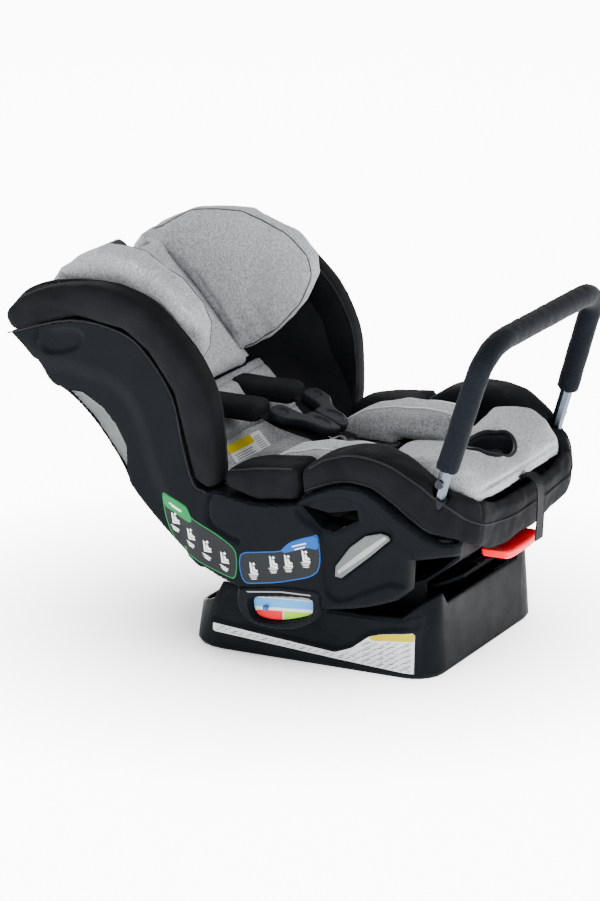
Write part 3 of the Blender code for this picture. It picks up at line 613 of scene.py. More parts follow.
def ripple(piece, size, scale, seed, where=None):
    """Shallow folds of the cloth: noise drawn out along one direction by the scale."""
    points = points_of(piece)
    offset = Vector((seed * 7.3, seed * 3.1, seed * 5.7))
    push = np.array([noise.noise(Vector((p[0] * scale[0], p[1] * scale[1], p[2] * scale[2]))
                                 + offset) for p in points])
    if where is not None:
        push *= where(points)
    put(piece, points + normals_of(piece) * (size * push)[:, None])


def tree_of(piece):
    return BVHTree.FromObject(piece, bpy.context.evaluated_depsgraph_get())


def snapped(tree, path, lift):
    """The path laid onto a surface and lifted off it."""
    made = []
    for point in path:
        place, normal, _, _ = tree.find_nearest(Vector(point))
        made.append(place + normal * lift)
    for _ in range(2):
        made = [made[0], *((a + 2 * b + c) / 4 for a, b, c in zip(made, made[1:], made[2:])),
                made[-1]]
    return made


def piping(name, host, path, radius, finish, body, lift):
    """A cord sewn along the path on a cover, raised by this share of its radius."""
    bpy.context.view_layer.update()
    line = snapped(tree_of(host), even(path, 0.004), radius * lift)
    return tube(name, line, radius, finish, body)


def place_camera():
    target = Vector((0.0, 0.0, 0.25))
    away = Vector((-0.8565, -0.4364, 0.2756)).normalized()
    camera = link("camera", bpy.data.cameras.new("camera"))
    camera.data.lens = 170.0
    camera.data.sensor_width = 36.0
    camera.data.clip_end = 60.0
    camera.location = target + away * 6.079
    camera.rotation_euler = away.to_track_quat("Z", "Y").to_euler()
    bpy.context.scene.camera = camera


def area(name, place, aim, size, power):
    lamp = link(name, bpy.data.lights.new(name, "AREA"))
    lamp.data.shape = "RECTANGLE"
    lamp.data.size, lamp.data.size_y = size
    lamp.data.energy = power
    lamp.location = place
    lamp.rotation_euler = (Vector(place) - Vector(aim)).to_track_quat("Z", "Y").to_euler()


def light_room():
    """A white room: an even sky, three soft lamps and a floor that glows away from the seat."""
    world = bpy.data.worlds.new("studio")
    bpy.context.scene.world = world
    world.use_nodes = True
    tree = world.node_tree
    shader = tree.nodes["Background"]
    shader.inputs["Strength"].default_value = 2.35
    height = tree.nodes.new("ShaderNodeSeparateXYZ")
    tree.links.new(tree.nodes.new("ShaderNodeTexCoord").outputs["Generated"], height.inputs[0])
    sky = tree.nodes.new("ShaderNodeValToRGB")
    tree.links.new(height.outputs["Z"], sky.inputs["Fac"])
    tree.links.new(sky.outputs["Color"], shader.inputs["Color"])
    for element, (place, light) in zip(sky.color_ramp.elements, ((0.0, 0.50), (0.85, 1.0))):
        element.position = place
        element.color = (light, light, light, 1.0)
    area("key", (-0.2, -1.4, 4.2), (0, -0.05, 0.3), (2.2, 1.6), 42)
    area("side", (-3.2, 0.9, 1.7), (0, 0.1, 0.4), (1.6, 1.2), 30)
    area("rim", (2.6, 2.2, 2.6), (0, 0.1, 0.3), (2.0, 1.4), 100)
    bm = bmesh.new()
    bmesh.ops.create_grid(bm, x_segments=8, y_segments=8, size=14.0)
    floor = from_bmesh("floor", bm)
    floor.location = (0, 0, -0.0003)
    net = Net("floor_paper", (0.93, 0.93, 0.93), 0.9)
    reach = net.add("VectorMath", {0: net.place}, operation="LENGTH").outputs["Value"]
    glow = net.ramp(net.math("MULTIPLY", reach, 0.5), (0.08, 0.0), (0.36, 1.0))
    net.feed(Emission_Color=glow, Emission_Strength=9.0)
    net.bump(net.noise(40), 0.02, 0.0005)
    floor.data.materials.append(net.material)


# ---- Side panels --------------------------------------------------------------------------------
def cradle_arc(radius, y_from, y_to, steps):
    start, end = (-math.acos((y - PIVOT[0]) / radius) for y in (y_from, y_to))
    turns = [start + (end - start) * i / steps for i in range(steps + 1)]
    return [(PIVOT[0] + radius * math.cos(a), PIVOT[1] + radius * math.sin(a)) for a in turns]


def softened(points, rounds=2):
    """An open polyline with its corners cut."""
    points = [Vector(p) for p in points]
    for _ in range(rounds):
        cut_points = [points[0]]
        for a, b in zip(points, points[1:]):
            cut_points += [a.lerp(b, 0.25), a.lerp(b, 0.75)]
        points = [*cut_points, points[-1]]
    return [tuple(p) for p in points]


def panel_curves():
    """The panel's seam side, its back edge and its free edge below, in drawing order."""
    tucked = [(y, z + 0.0050) for y, z in RIM_SEAM]
    seams = [tuple(p) for p in (*reversed(through(tucked, 4)), *reversed(through(BOLSTER_SEAM, 3)),
                                *through(WING_SEAM, 4))]
    under = [*reversed(cradle_arc(0.352, -0.262, 0.034, 14)), (-0.276, 0.140), (-0.279, 0.184),
             (-0.300, 0.188), (-0.338, 0.191)]
    return seams, softened(PANEL_BACK), under


FLANGED = ((-0.110, 0.243), (-0.137, 0.255), (-0.1663, 0.2650), (-0.2043, 0.2640),
           (-0.2375, 0.2475), (-0.2707, 0.2180), (-0.2860, 0.2000), (-0.2860, 0.1480),
           (-0.2560, 0.1500), (-0.2192, 0.1328), (-0.1811, 0.1159), (-0.1560, 0.1300),
           (-0.1480, 0.2050), (-0.1200, 0.2250))
OVAL = ((0.2854, 0.4252), (0.2723, 0.4475), (0.2345, 0.4541), (0.2211, 0.4470),
        (0.2325, 0.4269), (0.2730, 0.4153))
TUCK_LINE = ((0.0190, 0.2460), (0.0258, 0.2307), (0.0225, 0.2042), (-0.0019, 0.1895),
             (-0.0224, 0.1824))
BODY_LINE = ((0.292, 0.418), (0.235, 0.412), (0.178, 0.402), (0.136, 0.372), (0.112, 0.325),
             (0.096, 0.270), (0.066, 0.222), (0.024, 0.188))


CUTOUT = ((0.2440, 0.3640), (0.2268, 0.3640), (0.1930, 0.3455), (0.1700, 0.3200),
          (0.1560, 0.2920), (0.1555, 0.2640), (0.1660, 0.2790), (0.2060, 0.3310),
          (0.2400, 0.3600))


def panel_face(flat):
    """How far out the panel's sculpted face lies, without the roll of its edges."""
    y, z = flat[:, 0], flat[:, 1]
    corner = sorted((p[1], p[0]) for p in PANEL_CORNER)
    face = np.interp(y, [p[0] for p in corner], [p[1] for p in corner])
    flange = even(through(FLANGED, 4, True), 0.006, True)
    face = face - 0.0058 * step(signed(flat, flange), -0.002, 0.006)
    face = face - 0.0042 * step(signed(flat, through(OVAL, 4, True)), -0.003, 0.004)
    line = even(through(BODY_LINE, 4), 0.006)
    away = distance(flat, line)
    lower = y > np.interp(z, [p.y for p in reversed(line)], [p.x for p in reversed(line)])
    face = face - 0.0050 * np.where(lower, step(away, 0.0, 0.030), 0) * step(y, 0.03, 0.07)
    face = face - 0.0045 * bump(distance(flat, through(TUCK_LINE, 4)), 0.0034)
    face = face - 0.0060 * step(signed(flat, CUTOUT), -0.0014, 0.0006)
    for hole in (BELT_SLOT, INSET, INDICATOR):
        face = face - 0.0022 * (1 - step(-signed(flat, hole), 0.0, 0.0045))
    return face


def side_panel(name, side):
    seams, rear, under = panel_curves()

    def top(flat):
        face = panel_face(flat)
        for path, roll in ((seams, 0.0045), (rear, 0.0045), (under, 0.0120)):
            face = face - rolled(distance(flat, path), roll)
        return face

    panel = field("panel_" + name, [*seams, *rear, *under], 0.0032, top,
                  lambda flat: np.minimum(0.1980, top(flat) - 0.004), outward(side), 38)
    for hole, low in ((BELT_SLOT, 0.150), (INSET, 0.2250), (INDICATOR, 0.196)):
        cut(panel, hole, low, 0.26, side)
    shade(panel, 35)
    return dress(panel, "shell_plastic", "shell", "side_panel_" + name)


def seen_from(host, side):
    """A function giving how far out the host lies at each (y, z), seen from one side."""
    bpy.context.view_layer.update()
    tree = tree_of(host)

    def surface(flat):
        found = []
        for y, z in flat:
            hit = tree.ray_cast(Vector((side * 0.4, y, z)), Vector((-side, 0, 0)))[0]
            found.append(side * hit.x if hit else found[-1] if found else 0.2)
        return np.array(found)
    return surface


def printer(surface, view, body):
    """A function that lays thin printed shapes on a surface, joined in one piece."""
    def film(name, shapes, finish, lift, spacing=0.005):
        bm = bmesh.new()
        for outline in shapes:
            piece = field("film", outline, spacing, lambda flat: surface(flat) + lift,
                          lambda flat: surface(flat) + lift - FILM_THICK, view)
            bm.from_mesh(piece.data)
            bpy.data.objects.remove(piece)
        dress(from_bmesh(name, bm), finish, body)
    return film


def bar(y, z, length, height, slope=0.0):
    """A thin printed bar, its left end at (y, z) as seen from the right side, run towards -y."""
    run = Vector((-math.cos(slope), math.sin(slope))) * length
    rise = Vector((math.sin(slope), math.cos(slope))) * height
    start = Vector((y, z))
    return [tuple(p) for p in (start, start + run, start + run + rise, start + rise)]


def disc(y, z, radius, count=10):
    return [(y + radius * math.cos(a), z + radius * math.sin(a))
            for a in (2 * math.pi * i / count for i in range(count))]


def sitter(y, z, size):
    """A generic sign of a seated child: a head, a body and a seat."""
    body = ((0.16, 0.20), (-0.06, 0.22), (-0.16, -0.12), (-0.50, -0.16), (-0.50, -0.34),
            (0.08, -0.34))
    seat = ((0.50, 0.60), (0.32, 0.60), (0.14, -0.42), (-0.55, -0.42), (-0.55, -0.60),
            (0.34, -0.60))
    return [disc(y + 0.02 * size, z + 0.44 * size, 0.19 * size),
            *([(y + a * size, z + b * size) for a, b in shape] for shape in (body, seat))]


def shrink_outline(outline, amount):
    area2 = sum(a[0] * b[1] - b[0] * a[1] for a, b in zip(outline, (*outline[1:], outline[0])))
    turn = amount if area2 > 0 else -amount
    moved = []
    for i, point in enumerate(outline):
        point = Vector(point)
        before = (point - Vector(outline[i - 1])).normalized()
        after = (Vector(outline[(i + 1) % len(outline)]) - point).normalized()
        normals = [Vector((-d.y, d.x)) for d in (before, after)]
        moved.append(tuple(point + turn * (normals[0] + normals[1])
                           / max(0.5, 1 + normals[0].dot(normals[1]))))
    return moved


def rounded(outline, steps=4):
    return [tuple(p) for p in even(through(outline, steps, True), 0.003, True)]


GREEN_LABEL = ((0.0973, 0.2339), (0.0864, 0.2335), (0.0579, 0.2211), (0.0491, 0.2060),
               (0.0128, 0.1892), (-0.0146, 0.1731), (-0.0214, 0.1582), (-0.0193, 0.1302),
               (-0.0065, 0.1284), (0.0525, 0.1491), (0.0771, 0.1684), (0.0927, 0.1990))
GREEN_TAB = ((0.0960, 0.2325), (0.0864, 0.2325), (0.0590, 0.2205), (0.0500, 0.2050),
             (0.0530, 0.1985), (0.0830, 0.2120), (0.0935, 0.2170))
BLUE_LABEL = ((-0.0263, 0.1630), (-0.0556, 0.1717), (-0.0895, 0.1783), (-0.1041, 0.1925),
              (-0.1377, 0.2058), (-0.1473, 0.2045), (-0.1474, 0.1560), (-0.1040, 0.1362),
              (-0.0554, 0.1255), (-0.0310, 0.1265))
BLUE_TAB = ((-0.0905, 0.1783), (-0.1041, 0.1915), (-0.1377, 0.2048), (-0.1463, 0.2035),
            (-0.1465, 0.1880), (-0.1300, 0.1880), (-0.1080, 0.1800), (-0.0960, 0.1760))
INSET_STRIP = ((-0.1775, 0.1560), (-0.1760, 0.1610), (-0.2160, 0.1960), (-0.2480, 0.2205),
               (-0.2520, 0.2180), (-0.2200, 0.1890))
GREEN_SIGNS = ((0.0768, 0.2012), (0.0513, 0.1820), (0.0247, 0.1685), (-0.0027, 0.1560))
BLUE_SIGNS = ((-0.0482, 0.1471), (-0.0789, 0.1606), (-0.1021, 0.1657), (-0.1291, 0.1759))


def panel_labels(name, side, panel):
    printer(level(0.2334), outward(side), "shell")("inset_strip_" + name, [INSET_STRIP],
                                                   "pale_strip", 0.0, 0.006)
    film = printer(seen_from(panel, side), outward(side), "shell")
    film("cutout_cover_" + name, [shrink_outline(CUTOUT, 0.0004)], "pale_plastic", 0.0012, 0.003)
    for colour, outline, tab, signs, slope, tab_slope in (
            ("green", GREEN_LABEL, GREEN_TAB, GREEN_SIGNS, -0.42, -0.42),
            ("blue", BLUE_LABEL, BLUE_TAB, BLUE_SIGNS, 0.10, 0.34)):
        smooth = rounded(outline)
        tag = f"{colour}_label_{name}"
        film(tag + "_edge", [smooth], "label_" + colour, 0.0003)
        film(tag + "_field", [shrink_outline(smooth, 0.0016)], "label_black", 0.0006)
        film(tag + "_tab", [rounded(tab)], "label_" + colour, 0.0009)
        marks, lines = [], []
        for y, z in signs:
            marks += sitter(y, z, 0.0135)
            lines += [bar(y + 0.0085 - 0.0012 * row, z - 0.0105 - 0.0021 * row,
                          0.0165 - 0.0020 * row, 0.0010, slope) for row in range(4)]
        margin = shrink_outline(smooth, 0.0026)
        lines = [line for line in lines if signed(np.array(line), margin).min() > 0]
        y, z = np.mean(tab, axis=0)
        lines += [bar(y + 0.0130 - 0.0040 * row, z + 0.0008 - 0.0036 * row - tab_slope * 0.012,
                      0.0250 - 0.0060 * row, 0.0017, tab_slope) for row in range(2)]
        film(tag + "_signs", marks, "label_white", 0.0012, 0.004)
        film(tag + "_lines", lines, "label_white", 0.0012, 0.004)


def half_of(outline, a, b):
    """The part of an outline to the left of the line from a to b."""
    def side_of(p):
        return (b[0] - a[0]) * (p[1] - a[1]) - (b[1] - a[1]) * (p[0] - a[0])

    kept = []
    for p, q in zip(outline, (*outline[1:], outline[0])):
        here, there = side_of(p), side_of(q)
        if here >= 0:
            kept.append(tuple(p))
        if (here >= 0) != (there >= 0):
            kept.append(tuple(Vector(p).lerp(Vector(q), here / (here - there))))
    return kept


# ---- Level indicator ----------------------------------------------------------------------------
WINDOW = ((-0.0397, 0.0986), (-0.0505, 0.1048), (-0.0900, 0.1110), (-0.1330, 0.1141),
          (-0.1388, 0.1051), (-0.1340, 0.0886), (-0.1040, 0.0764), (-0.0748, 0.0706),
          (-0.0504, 0.0729), (-0.0416, 0.0839))


def indicator(name, side):
    outline, window = rounded(INDICATOR, 3), rounded(WINDOW, 3)

    def top(flat):
        depth = signed(flat, window)
        face = 0.2352 - rolled(signed(flat, outline), 0.004)
        return face + 0.0010 * bump(depth + 0.0025, 0.0018) - 0.0136 * step(depth, -0.0008, 0.0012)

    housing = field("indicator_" + name, outline, 0.0016, top, level(0.190), outward(side), 45)
    dress(housing, "base_plastic", "shell", "indicator_housing_" + name)
    film = printer(seen_from(housing, side), outward(side), "shell")
    inner = shrink_outline(window, 0.0020)
    film("level_back_" + name, [inner], "label_white", 0.0002)
    sky = half_of(inner, (-0.136, 0.0950), (-0.040, 0.0870))
    low = half_of(inner, (-0.040, 0.0825), (-0.136, 0.0905))
    for tint, tag, band in (
            ("grey", "scale", half_of(inner, (-0.136, 0.1080), (-0.040, 0.1015))),
            ("sky", "sky", half_of(sky, (-0.040, 0.1005), (-0.136, 0.1070))),
            ("red", "steep", half_of(low, (-0.0860, 0.120), (-0.0860, 0.060))),
            ("lime", "flat", half_of(low, (-0.0880, 0.060), (-0.0880, 0.120)))):
        film(f"level_{tag}_{name}", [band], "label_" + tint, 0.0004, 0.004)
    stroke = [(-0.0360, 0.1120), (-0.0900, 0.1195), (-0.1370, 0.1210), (-0.1370, 0.1192),
              (-0.0900, 0.1177), (-0.0360, 0.1102)]
    film("level_rule_" + name, [stroke], "label_grey", 0.0003, 0.004)


# ---- Covers over the wings ----------------------------------------------------------------------
def wing_point(y, z, x):
    ahead = (Vector((0, y, z)) - BACK_FOOT).dot(BACK_OUT)
    return Vector((x + WING_FLARE * max(0.0, ahead), y, z))


def wing_lining(name, side):
    """The smooth inner face of the wing, from its edge in to the back's plane."""
    columns = []
    for y, z in even(through(WING_EDGE, 4), 0.012):
        place = Vector((0, y, z)) - BACK_FOOT
        t, n = place.dot(BACK_UP), place.dot(BACK_OUT)
        inner = min(max(t, 0.030), 0.412)
        rise, rest = max(n, 0.0), min(n, 0.0)
        profile = [(wing_point(y, z, 0.1975).x + 0.05 * rest, t, n - 0.006),
                   (0.1935 + 0.05 * rise, t, rise * 0.70 + rest - 0.002),
                   (0.1890, t, rise * 0.40 + rest - 0.004),
                   (0.1740, (t + inner) / 2, min(rise * 0.10, 0.014) - 0.006 + rest),
                   (0.1380, inner, -0.0265 + min(rest + 0.020, 0.0))]
        columns.append(through([back(side * x, a, b) for x, a, b in profile], 4))
    lining = loft("wing_lining_" + name, columns, caps=(False, False), round_ring=False)
    modify(lining, "SOLIDIFY", thickness=0.003, offset=-side)
    finer(apply(lining))
    ripple(lining, 0.0012, (18, 18, 18), 3)
    shade(lining, 60)
    return dress(lining, "lining", "shell")


def ribbon(name, path, width, thickness, node, hint=(1, 0, 0)):
    """Webbing along the points, with a beaded edge and fine ribs across it."""
    line = even(through(path, 6), 0.0022)
    shape = [(-1.0, 0.0), (-0.97, 0.7), (-0.90, 1.0), (-0.82, 0.62), (-0.4, 0.70), (0.0, 0.72),
             (0.4, 0.70), (0.82, 0.62), (0.90, 1.0), (0.97, 0.7)]
    shape += [(-a, -b) for a, b in shape]
    hint = Vector(hint)
    rings = []
    for i, point in enumerate(line):
        along = heading(line, i)
        across = (hint - along * along.dot(hint)).normalized()
        out = along.cross(across)
        rib = 1.0 + 0.10 * (i % 2)
        rings.append([point + across * width / 2 * a + out * thickness / 2 * b * rib
                      for a, b in shape])
    return dress(loft(name, rings, 60), "webbing", "shell", node)


def near(place, reach):
    """Where a local fold shows: fading out over this reach round the place."""
    return lambda points: bump(np.linalg.norm(points - np.array(place), axis=1), reach)


def smooth_lines(lines, steps=4):
    """Smooth paths through the lines, and their mirror images on the other side."""
    return [even(through(flank(side, line), steps), 0.004) for line in lines for side in (1, -1)]


def sculpt(pieces):
    """Folds, gathers and sewn seams, on the left-hand pieces before they are mirrored."""
    wing = pieces["headrest_wing_left"]
    points = points_of(wing)
    local = points - np.array(BACK_FOOT)
    ahead = np.maximum(local @ np.array(BACK_OUT), 0)
    depth = (points[:, 0] - HEAD_INNER - HEAD_FLARE * ahead) / 0.038
    along = local @ np.array(BACK_UP)
    points[:, 0] += 0.018 * step(depth, 0.35, 1.0) * step(along, 0.195, 0.270)
    tail = step(along, 0.335, 0.400) * (1 - step(ahead, 0.010, 0.060))
    put(wing, points - 0.013 * np.outer(tail, np.array(BACK_OUT)))
    ripple(wing, 0.0026, (9, 26, 9), 1)
    ripple(wing, 0.0012, (30, 60, 30), 2)
    ripple(wing, 0.0042, (95, 30, 60), 4, near(back(0.100, 0.200, 0.030), 0.045))
    ripple(wing, 0.0030, (80, 40, 60), 5, near(back(0.100, 0.425, 0.000), 0.040))
    pad = pieces["headrest_pad"]
    ripple(pad, 0.0016, (14, 20, 20), 6)
    put(pad, points_of(pad) - 0.0025 * np.array(BACK_OUT))
    cushion = pieces["back_cushion"]
    ripple(cushion, 0.0022, (12, 30, 30), 7)
    groove(cushion, smooth_lines([[back(0.100, t, 0.002) for t in (0.088, 0.130, 0.178)]]),
           0.0035, 0.0030)
    strap_pad = pieces["shoulder_pad_left"]
    points = points_of(strap_pad) + 0.0022 * normals_of(strap_pad)
    middle = points.mean(axis=0)
    axis = np.linalg.svd(points - middle, full_matrices=False)[2][0]
    axis = axis * np.sign(axis[1])
    run = (points - middle) @ axis
    put(strap_pad, points + 0.12 * np.outer(run - run.min(), axis))
    ripple(pieces["seat_cushion"], 0.0020, (14, 24, 24), 8)
    front = pieces["front_pad"]
    folds = [[(0.052, -0.283, 0.304), (0.095, -0.272, 0.307), (0.140, -0.262, 0.306)],
             [(0.020, -0.262, 0.306), (0.036, -0.246, 0.304), (0.046, -0.232, 0.296)]]
    groove(front, smooth_lines(folds), 0.0050, 0.0046)
    groove(front, smooth_lines([FRONT_SEAM], 5), 0.0034, 0.0042)
    ripple(front, 0.0020, (16, 22, 12), 9)
    ripple(front, 0.0022, (60, 60, 20), 10, lambda points: bump(
        np.hypot(points[:, 0] / 1.5, points[:, 1] - OVAL_Y) - 0.042, 0.012))
    for node, size, scale, seed in (("thigh_pad_left", 0.0018, (20, 26, 26), 11),
                                    ("wing_cover_left", 0.0012, (18, 18, 18), 12),
                                    ("rear_bolster_left", 0.0022, (18, 18, 18), 13),
                                    ("front_rim_cover", 0.0016, (18, 18, 18), 14),
                                    ("shoulder_pad_left", 0.0012, (18, 18, 18), 15),
                                    ("front_rim_cover", 0.0010, (50, 50, 30), 16),
                                    ("rebound_bar_foam", 0.0006, (70, 70, 40), 17)):
        ripple(pieces[node], size, scale, seed)
    split = [(0.145, -0.345, 0.265), (0.150, -0.356, 0.245), (0.150, -0.350, 0.205)]
    groove(pieces["front_rim_cover"], smooth_lines([split]), 0.0028, 0.0022)


# For each padded piece: voxel size, softening rounds, how far it shrinks first, the most it may
# swell, then its body, finish and how full it is. A left-hand piece is mirrored afterwards.
PADS = {
    "wing_cover_left": (0.0045, 3, 0.0010, 0.0030, "shell", "black_fabric", 0.6),
    "rear_bolster_left": (0.0040, 5, 0.0005, 0.0050, "shell", "black_fabric", 0.7),
    "front_rim_cover": (0.0048, 4, 0.0010, 0.0035, "shell", "black_fabric", 0.7),
    "thigh_pad_left": (0.0038, 5, 0.0005, 0.0050, "shell", "grey_fabric", 0.6),
    "front_pad": (0.0038, 5, 0.0005, 0.0060, "pan", "grey_fabric", 0.6),
    "headrest_wing_left": (0.0045, 5, 0.0005, 0.0060, "headrest", "grey_fabric", 0.7),
    "headrest_pad": (0.0045, 4, 0.0, 0.0050, "headrest", "grey_fabric", 0.5),
    "back_cushion": (0.0050, 4, 0.0005, 0.0050, "shell", "grey_fabric", 0.5),
    "seat_cushion": (0.0050, 3, 0.0010, 0.0040, "shell", "grey_fabric", 0.4),
    "pan_cushion": (0.0045, 4, 0.0005, 0.0040, "pan", "grey_fabric", 0.4),
    "shoulder_pad_left": (0.0030, 8, 0.0, 0.0030, "shell", "lining", 0.7),
    "rebound_bar_foam": (0.0035, 3, 0.0, 0.0010, "rebound_bar", "foam", 0.9)}


def soft_pieces():
    """Every padded cover: remeshed, filled, given its seams and folds, then mirrored."""
    blanks = {node: blank(node, *row[:3]) for node, row in PADS.items()}
    pad = blanks["front_pad"]
    points = points_of(pad)
    low = 1 - step(points[:, 2], 0.262, 0.300)
    points[:, 0] *= 1 + 0.035 * low
    points[:, 1] -= 0.0065 * low * step(-points[:, 1], 0.270, 0.335)
    put(pad, points)
    fill([(piece, PADS[node][3]) for node, piece in blanks.items()])
    for piece in blanks.values():
        finer(piece)
    sculpt(blanks)
    made = {}
    for node, piece in blanks.items():
        *_, body, finish, fullness = PADS[node]
        items = {node: piece}
        if node.endswith("_left"):
            other = node.replace("_left", "_right")
            items[other] = mirror(piece, other + "_soft")
        for place, item in items.items():
            shade(item, 70)
            dress(item, finish, body, place)
        made.update(items)
    return made


RIM_PIPING = ((0.229, -0.130, 0.300), (0.230, -0.158, 0.321), (0.230, -0.190, 0.331),
              (0.230, -0.238, 0.327), (0.228, -0.272, 0.311), (0.220, -0.305, 0.288),
              (0.203, -0.334, 0.262), (0.172, -0.352, 0.238), (0.120, -0.360, 0.222),
              (0.060, -0.363, 0.216), (0.0, -0.364, 0.215))
THIGH_EDGE = ((-0.020, 0.262), (-0.024, 0.278), (-0.055, 0.294), (-0.100, 0.305),
              (-0.150, 0.308), (-0.190, 0.306), (-0.203, 0.292), (-0.204, 0.270))


# The headrest wing's inner edge in (t, n), where the dark cord of painted crease shade runs.
HEAD_EDGE = ((0.198, 0.010), (0.194, 0.060), (0.203, 0.106), (0.224, 0.139), (0.252, 0.151),
             (0.302, 0.145), (0.364, 0.115), (0.410, 0.062), (0.428, 0.005))
BOLSTER_PIPING = ((0.2310, -0.006, 0.286), (0.2320, -0.030, 0.2895), (0.2320, -0.070, 0.2950),
                  (0.2310, -0.106, 0.2985))


def head_edge(side):
    return [back(side * (0.0940 + HEAD_FLARE * max(0.0, n)), t, n)
            for t, n in through(HEAD_EDGE, 4)]


def trims(name, side):
    """The headrest's gusset, a cord of painted crease shade and the piping along the covers' seams, on
    one side.
    """
    gusset = ((0.078, -0.0045), (0.104, -0.0045), (0.104, 0.0035), (0.078, 0.0035))
    rings = [[back(side * x, t, n) for x, n in gusset] for t in (0.190, 0.260, 0.330, 0.398)]
    dress(loft("head_gusset_" + name, rings), "grey_fabric", "headrest")
    # A dark cord on the wing's inner edge: painted shade for the crease between the wing and the
    # centre pad.
    piping("head_seam_" + name, ALL_SOFT["headrest_wing_" + name], head_edge(side), 0.0010,
           "seam", "headrest", 0.2)
    edge = flank(side, [wing_point(y, z, 0.1935) for y, z in through(WING_EDGE, 4)])
    cord = flank(side, [(y + 0.001, z - 0.0012) for y, z in through(WING_SEAM, 4)], 0.2350)
    tube("wing_seam_cord_" + name, even(cord, 0.004), 0.0013, "piping", "shell")
    rim = flank(side, through(RIM_PIPING, 4))
    low = flank(side, [(y, z + 0.0050) for y, z in through(RIM_SEAM, 4)], 0.2325)[:-2]
    inner, outer = (flank(side, through(THIGH_EDGE, 4), x) for x in (0.0985, 0.1475))
    top = flank(side, through(BOLSTER_PIPING, 5))
    for part, host, path, radius, finish, lift in (
            ("wing_piping_", "wing_cover_", edge, 0.0017, "piping", 0.6),
            ("rim_piping_", "front_rim_cover", rim, 0.0015, "piping", 0.55),
            ("rim_hem_", "front_rim_cover", low, 0.0012, "piping", 0.3),
            ("thigh_inner_piping_", "thigh_pad_", inner, 0.0016, "pale_piping", 0.25),
            ("thigh_outer_piping_", "thigh_pad_", outer, 0.0016, "pale_piping", 0.25),
            ("bolster_piping_", "rear_bolster_", top, 0.0013, "piping", 0.4)):
        host = ALL_SOFT[host + name if host.endswith("_") else host]
        piping(part + name, host, path, radius, finish, "shell", lift)


def chest_clip(name, side):
    half = [(0.002, -0.044), (0.018, -0.048), (0.036, -0.036), (0.046, -0.008),
            (0.070, 0.012), (0.070, 0.038), (0.036, 0.040), (0.026, 0.006), (0.002, 0.000)]
    outline = rounded(half)

    def top(flat):
        face = 0.0185 - rolled(signed(flat, outline), 0.003)
        for a, b, across, along in ((0.053, 0.0255, 0.0105, 0.0075),
                                    (0.020, -0.0235, 0.0130, 0.0150)):
            reach = np.hypot((flat[:, 0] - a) / across, (flat[:, 1] - b) / along)
            face = face - 0.0018 * (1 - step(reach, 0.75, 1.05)) + 0.0007 * bump(reach - 1.15, 0.10)
        return face

    shell = field("chest_clip_shell_" + name, outline, 0.0014, top,
                  lambda flat: 0.0065 + rolled(signed(flat, outline), 0.0025),
                  lambda a, b, c: clip(side * a, b, c), 45)
    dress(shell, "clip_plastic", "chest_clip" if name == "left" else "chest_clip_right",
          "chest_clip_" + name)


def buckle_case():
    outline = rounded([(-0.022, 0.0), (0.022, 0.0), (0.026, 0.024), (0.024, 0.040),
                       (-0.024, 0.040), (-0.026, 0.024)])
    button = rounded([(-0.0148, 0.0052), (0.0148, 0.0052), (0.0148, 0.0268), (-0.0148, 0.0268)], 3)

    def top(flat):
        well = 0.0062 * step(signed(flat, button), -0.0006, 0.0008)
        return 0.0085 - rolled(signed(flat, outline), 0.003) - well

    dress(field("buckle_shell", outline, 0.0013, top, level(-0.008), buckle, 45), "clip_plastic",
          "shell", "crotch_buckle")


def harness():
    for name, side in SIDES:
        shoulder = [*(clip(side * x, t, n) for x, t, n in (
            (0.054, 0.062, 0.002), (0.053, 0.045, 0.001), (0.052, 0.022, 0), (0.044, 0.000, 0))),
            *(buckle(side * x, t, n) for x, t, n in (
                (0.030, 0.0775, 0.0135), (0.022, 0.066, 0.0085), (0.020, 0.056, 0.0062)))]
        ribbon("shoulder_web_" + name, shoulder, WEB, 0.0022, "shoulder_strap_" + name)
        lap = [*flank(side, ((0.0930, -0.0260, 0.2585), (0.0860, -0.0330, 0.2600),
                             (0.0700, -0.0440, 0.2608), (0.0500, -0.0525, 0.2612))),
               buckle(side * 0.0290, 0.0490, -0.0045)]
        ribbon("lap_web_" + name, lap, 0.024, 0.0022, "lap_strap_" + name, BUCKLE_UP)
        chest_clip(name, side)
    buckle_case()
    ribbon("crotch_web", [(0, -0.1135, 0.2160), (0, -0.1105, 0.2280), (0, -0.1095, 0.2400),
                          (0, -0.1095, 0.2475), buckle(0, -0.001, -0.001)], WEB, 0.0025,
           "crotch_strap")
    ribbon("adjuster_web", [(0, -0.3475, 0.2600), (0, -0.3620, 0.2620), (0, -0.3745, 0.2480),
                            (0, -0.3760, 0.2150), (0, -0.3740, 0.1700)], 0.026, 0.0022,
           "adjuster_strap")


def front_trim():
    """The oval opening's rim and the bowl below it, laid on the front pad."""
    bpy.context.view_layer.update()
    tree = tree_of(ALL_SOFT["front_pad"])
    middle = Vector((0, OVAL_Y, 0.304))
    ring = []
    for a in (2 * math.pi * i / 72 for i in range(72)):
        p = middle + Vector((0.0500 * math.cos(a), 0.0320 * math.sin(a), 0))
        out = (p - middle).normalized()
        hit = tree.ray_cast(p + out * 0.006 + Vector((0, 0, 0.03)), Vector((0, 0, -1)))[0]
        ring.append(Vector((p.x, p.y, hit.z if hit else 0.302)))
    for _ in range(6):
        ring = [(ring[i - 1] + 2 * p + ring[(i + 1) % len(ring)]) / 4
                for i, p in enumerate(ring)]
    tube("adjuster_bezel", ring, 0.0036, "clip_plastic", "pan", 10, True)
    rings = [[Vector((p.x * share, OVAL_Y + (p.y - OVAL_Y) * share, p.z + deep)) for p in ring]
             for share, deep in ((1.0, 0.0), (0.97, -0.010), (0.90, -0.028), (0.55, -0.036))]
    bowl = loft("adjuster_bowl", rings, caps=(False, True))
    modify(bowl, "SOLIDIFY", thickness=0.0012)
    dress(apply(bowl), "clip_plastic", "pan")


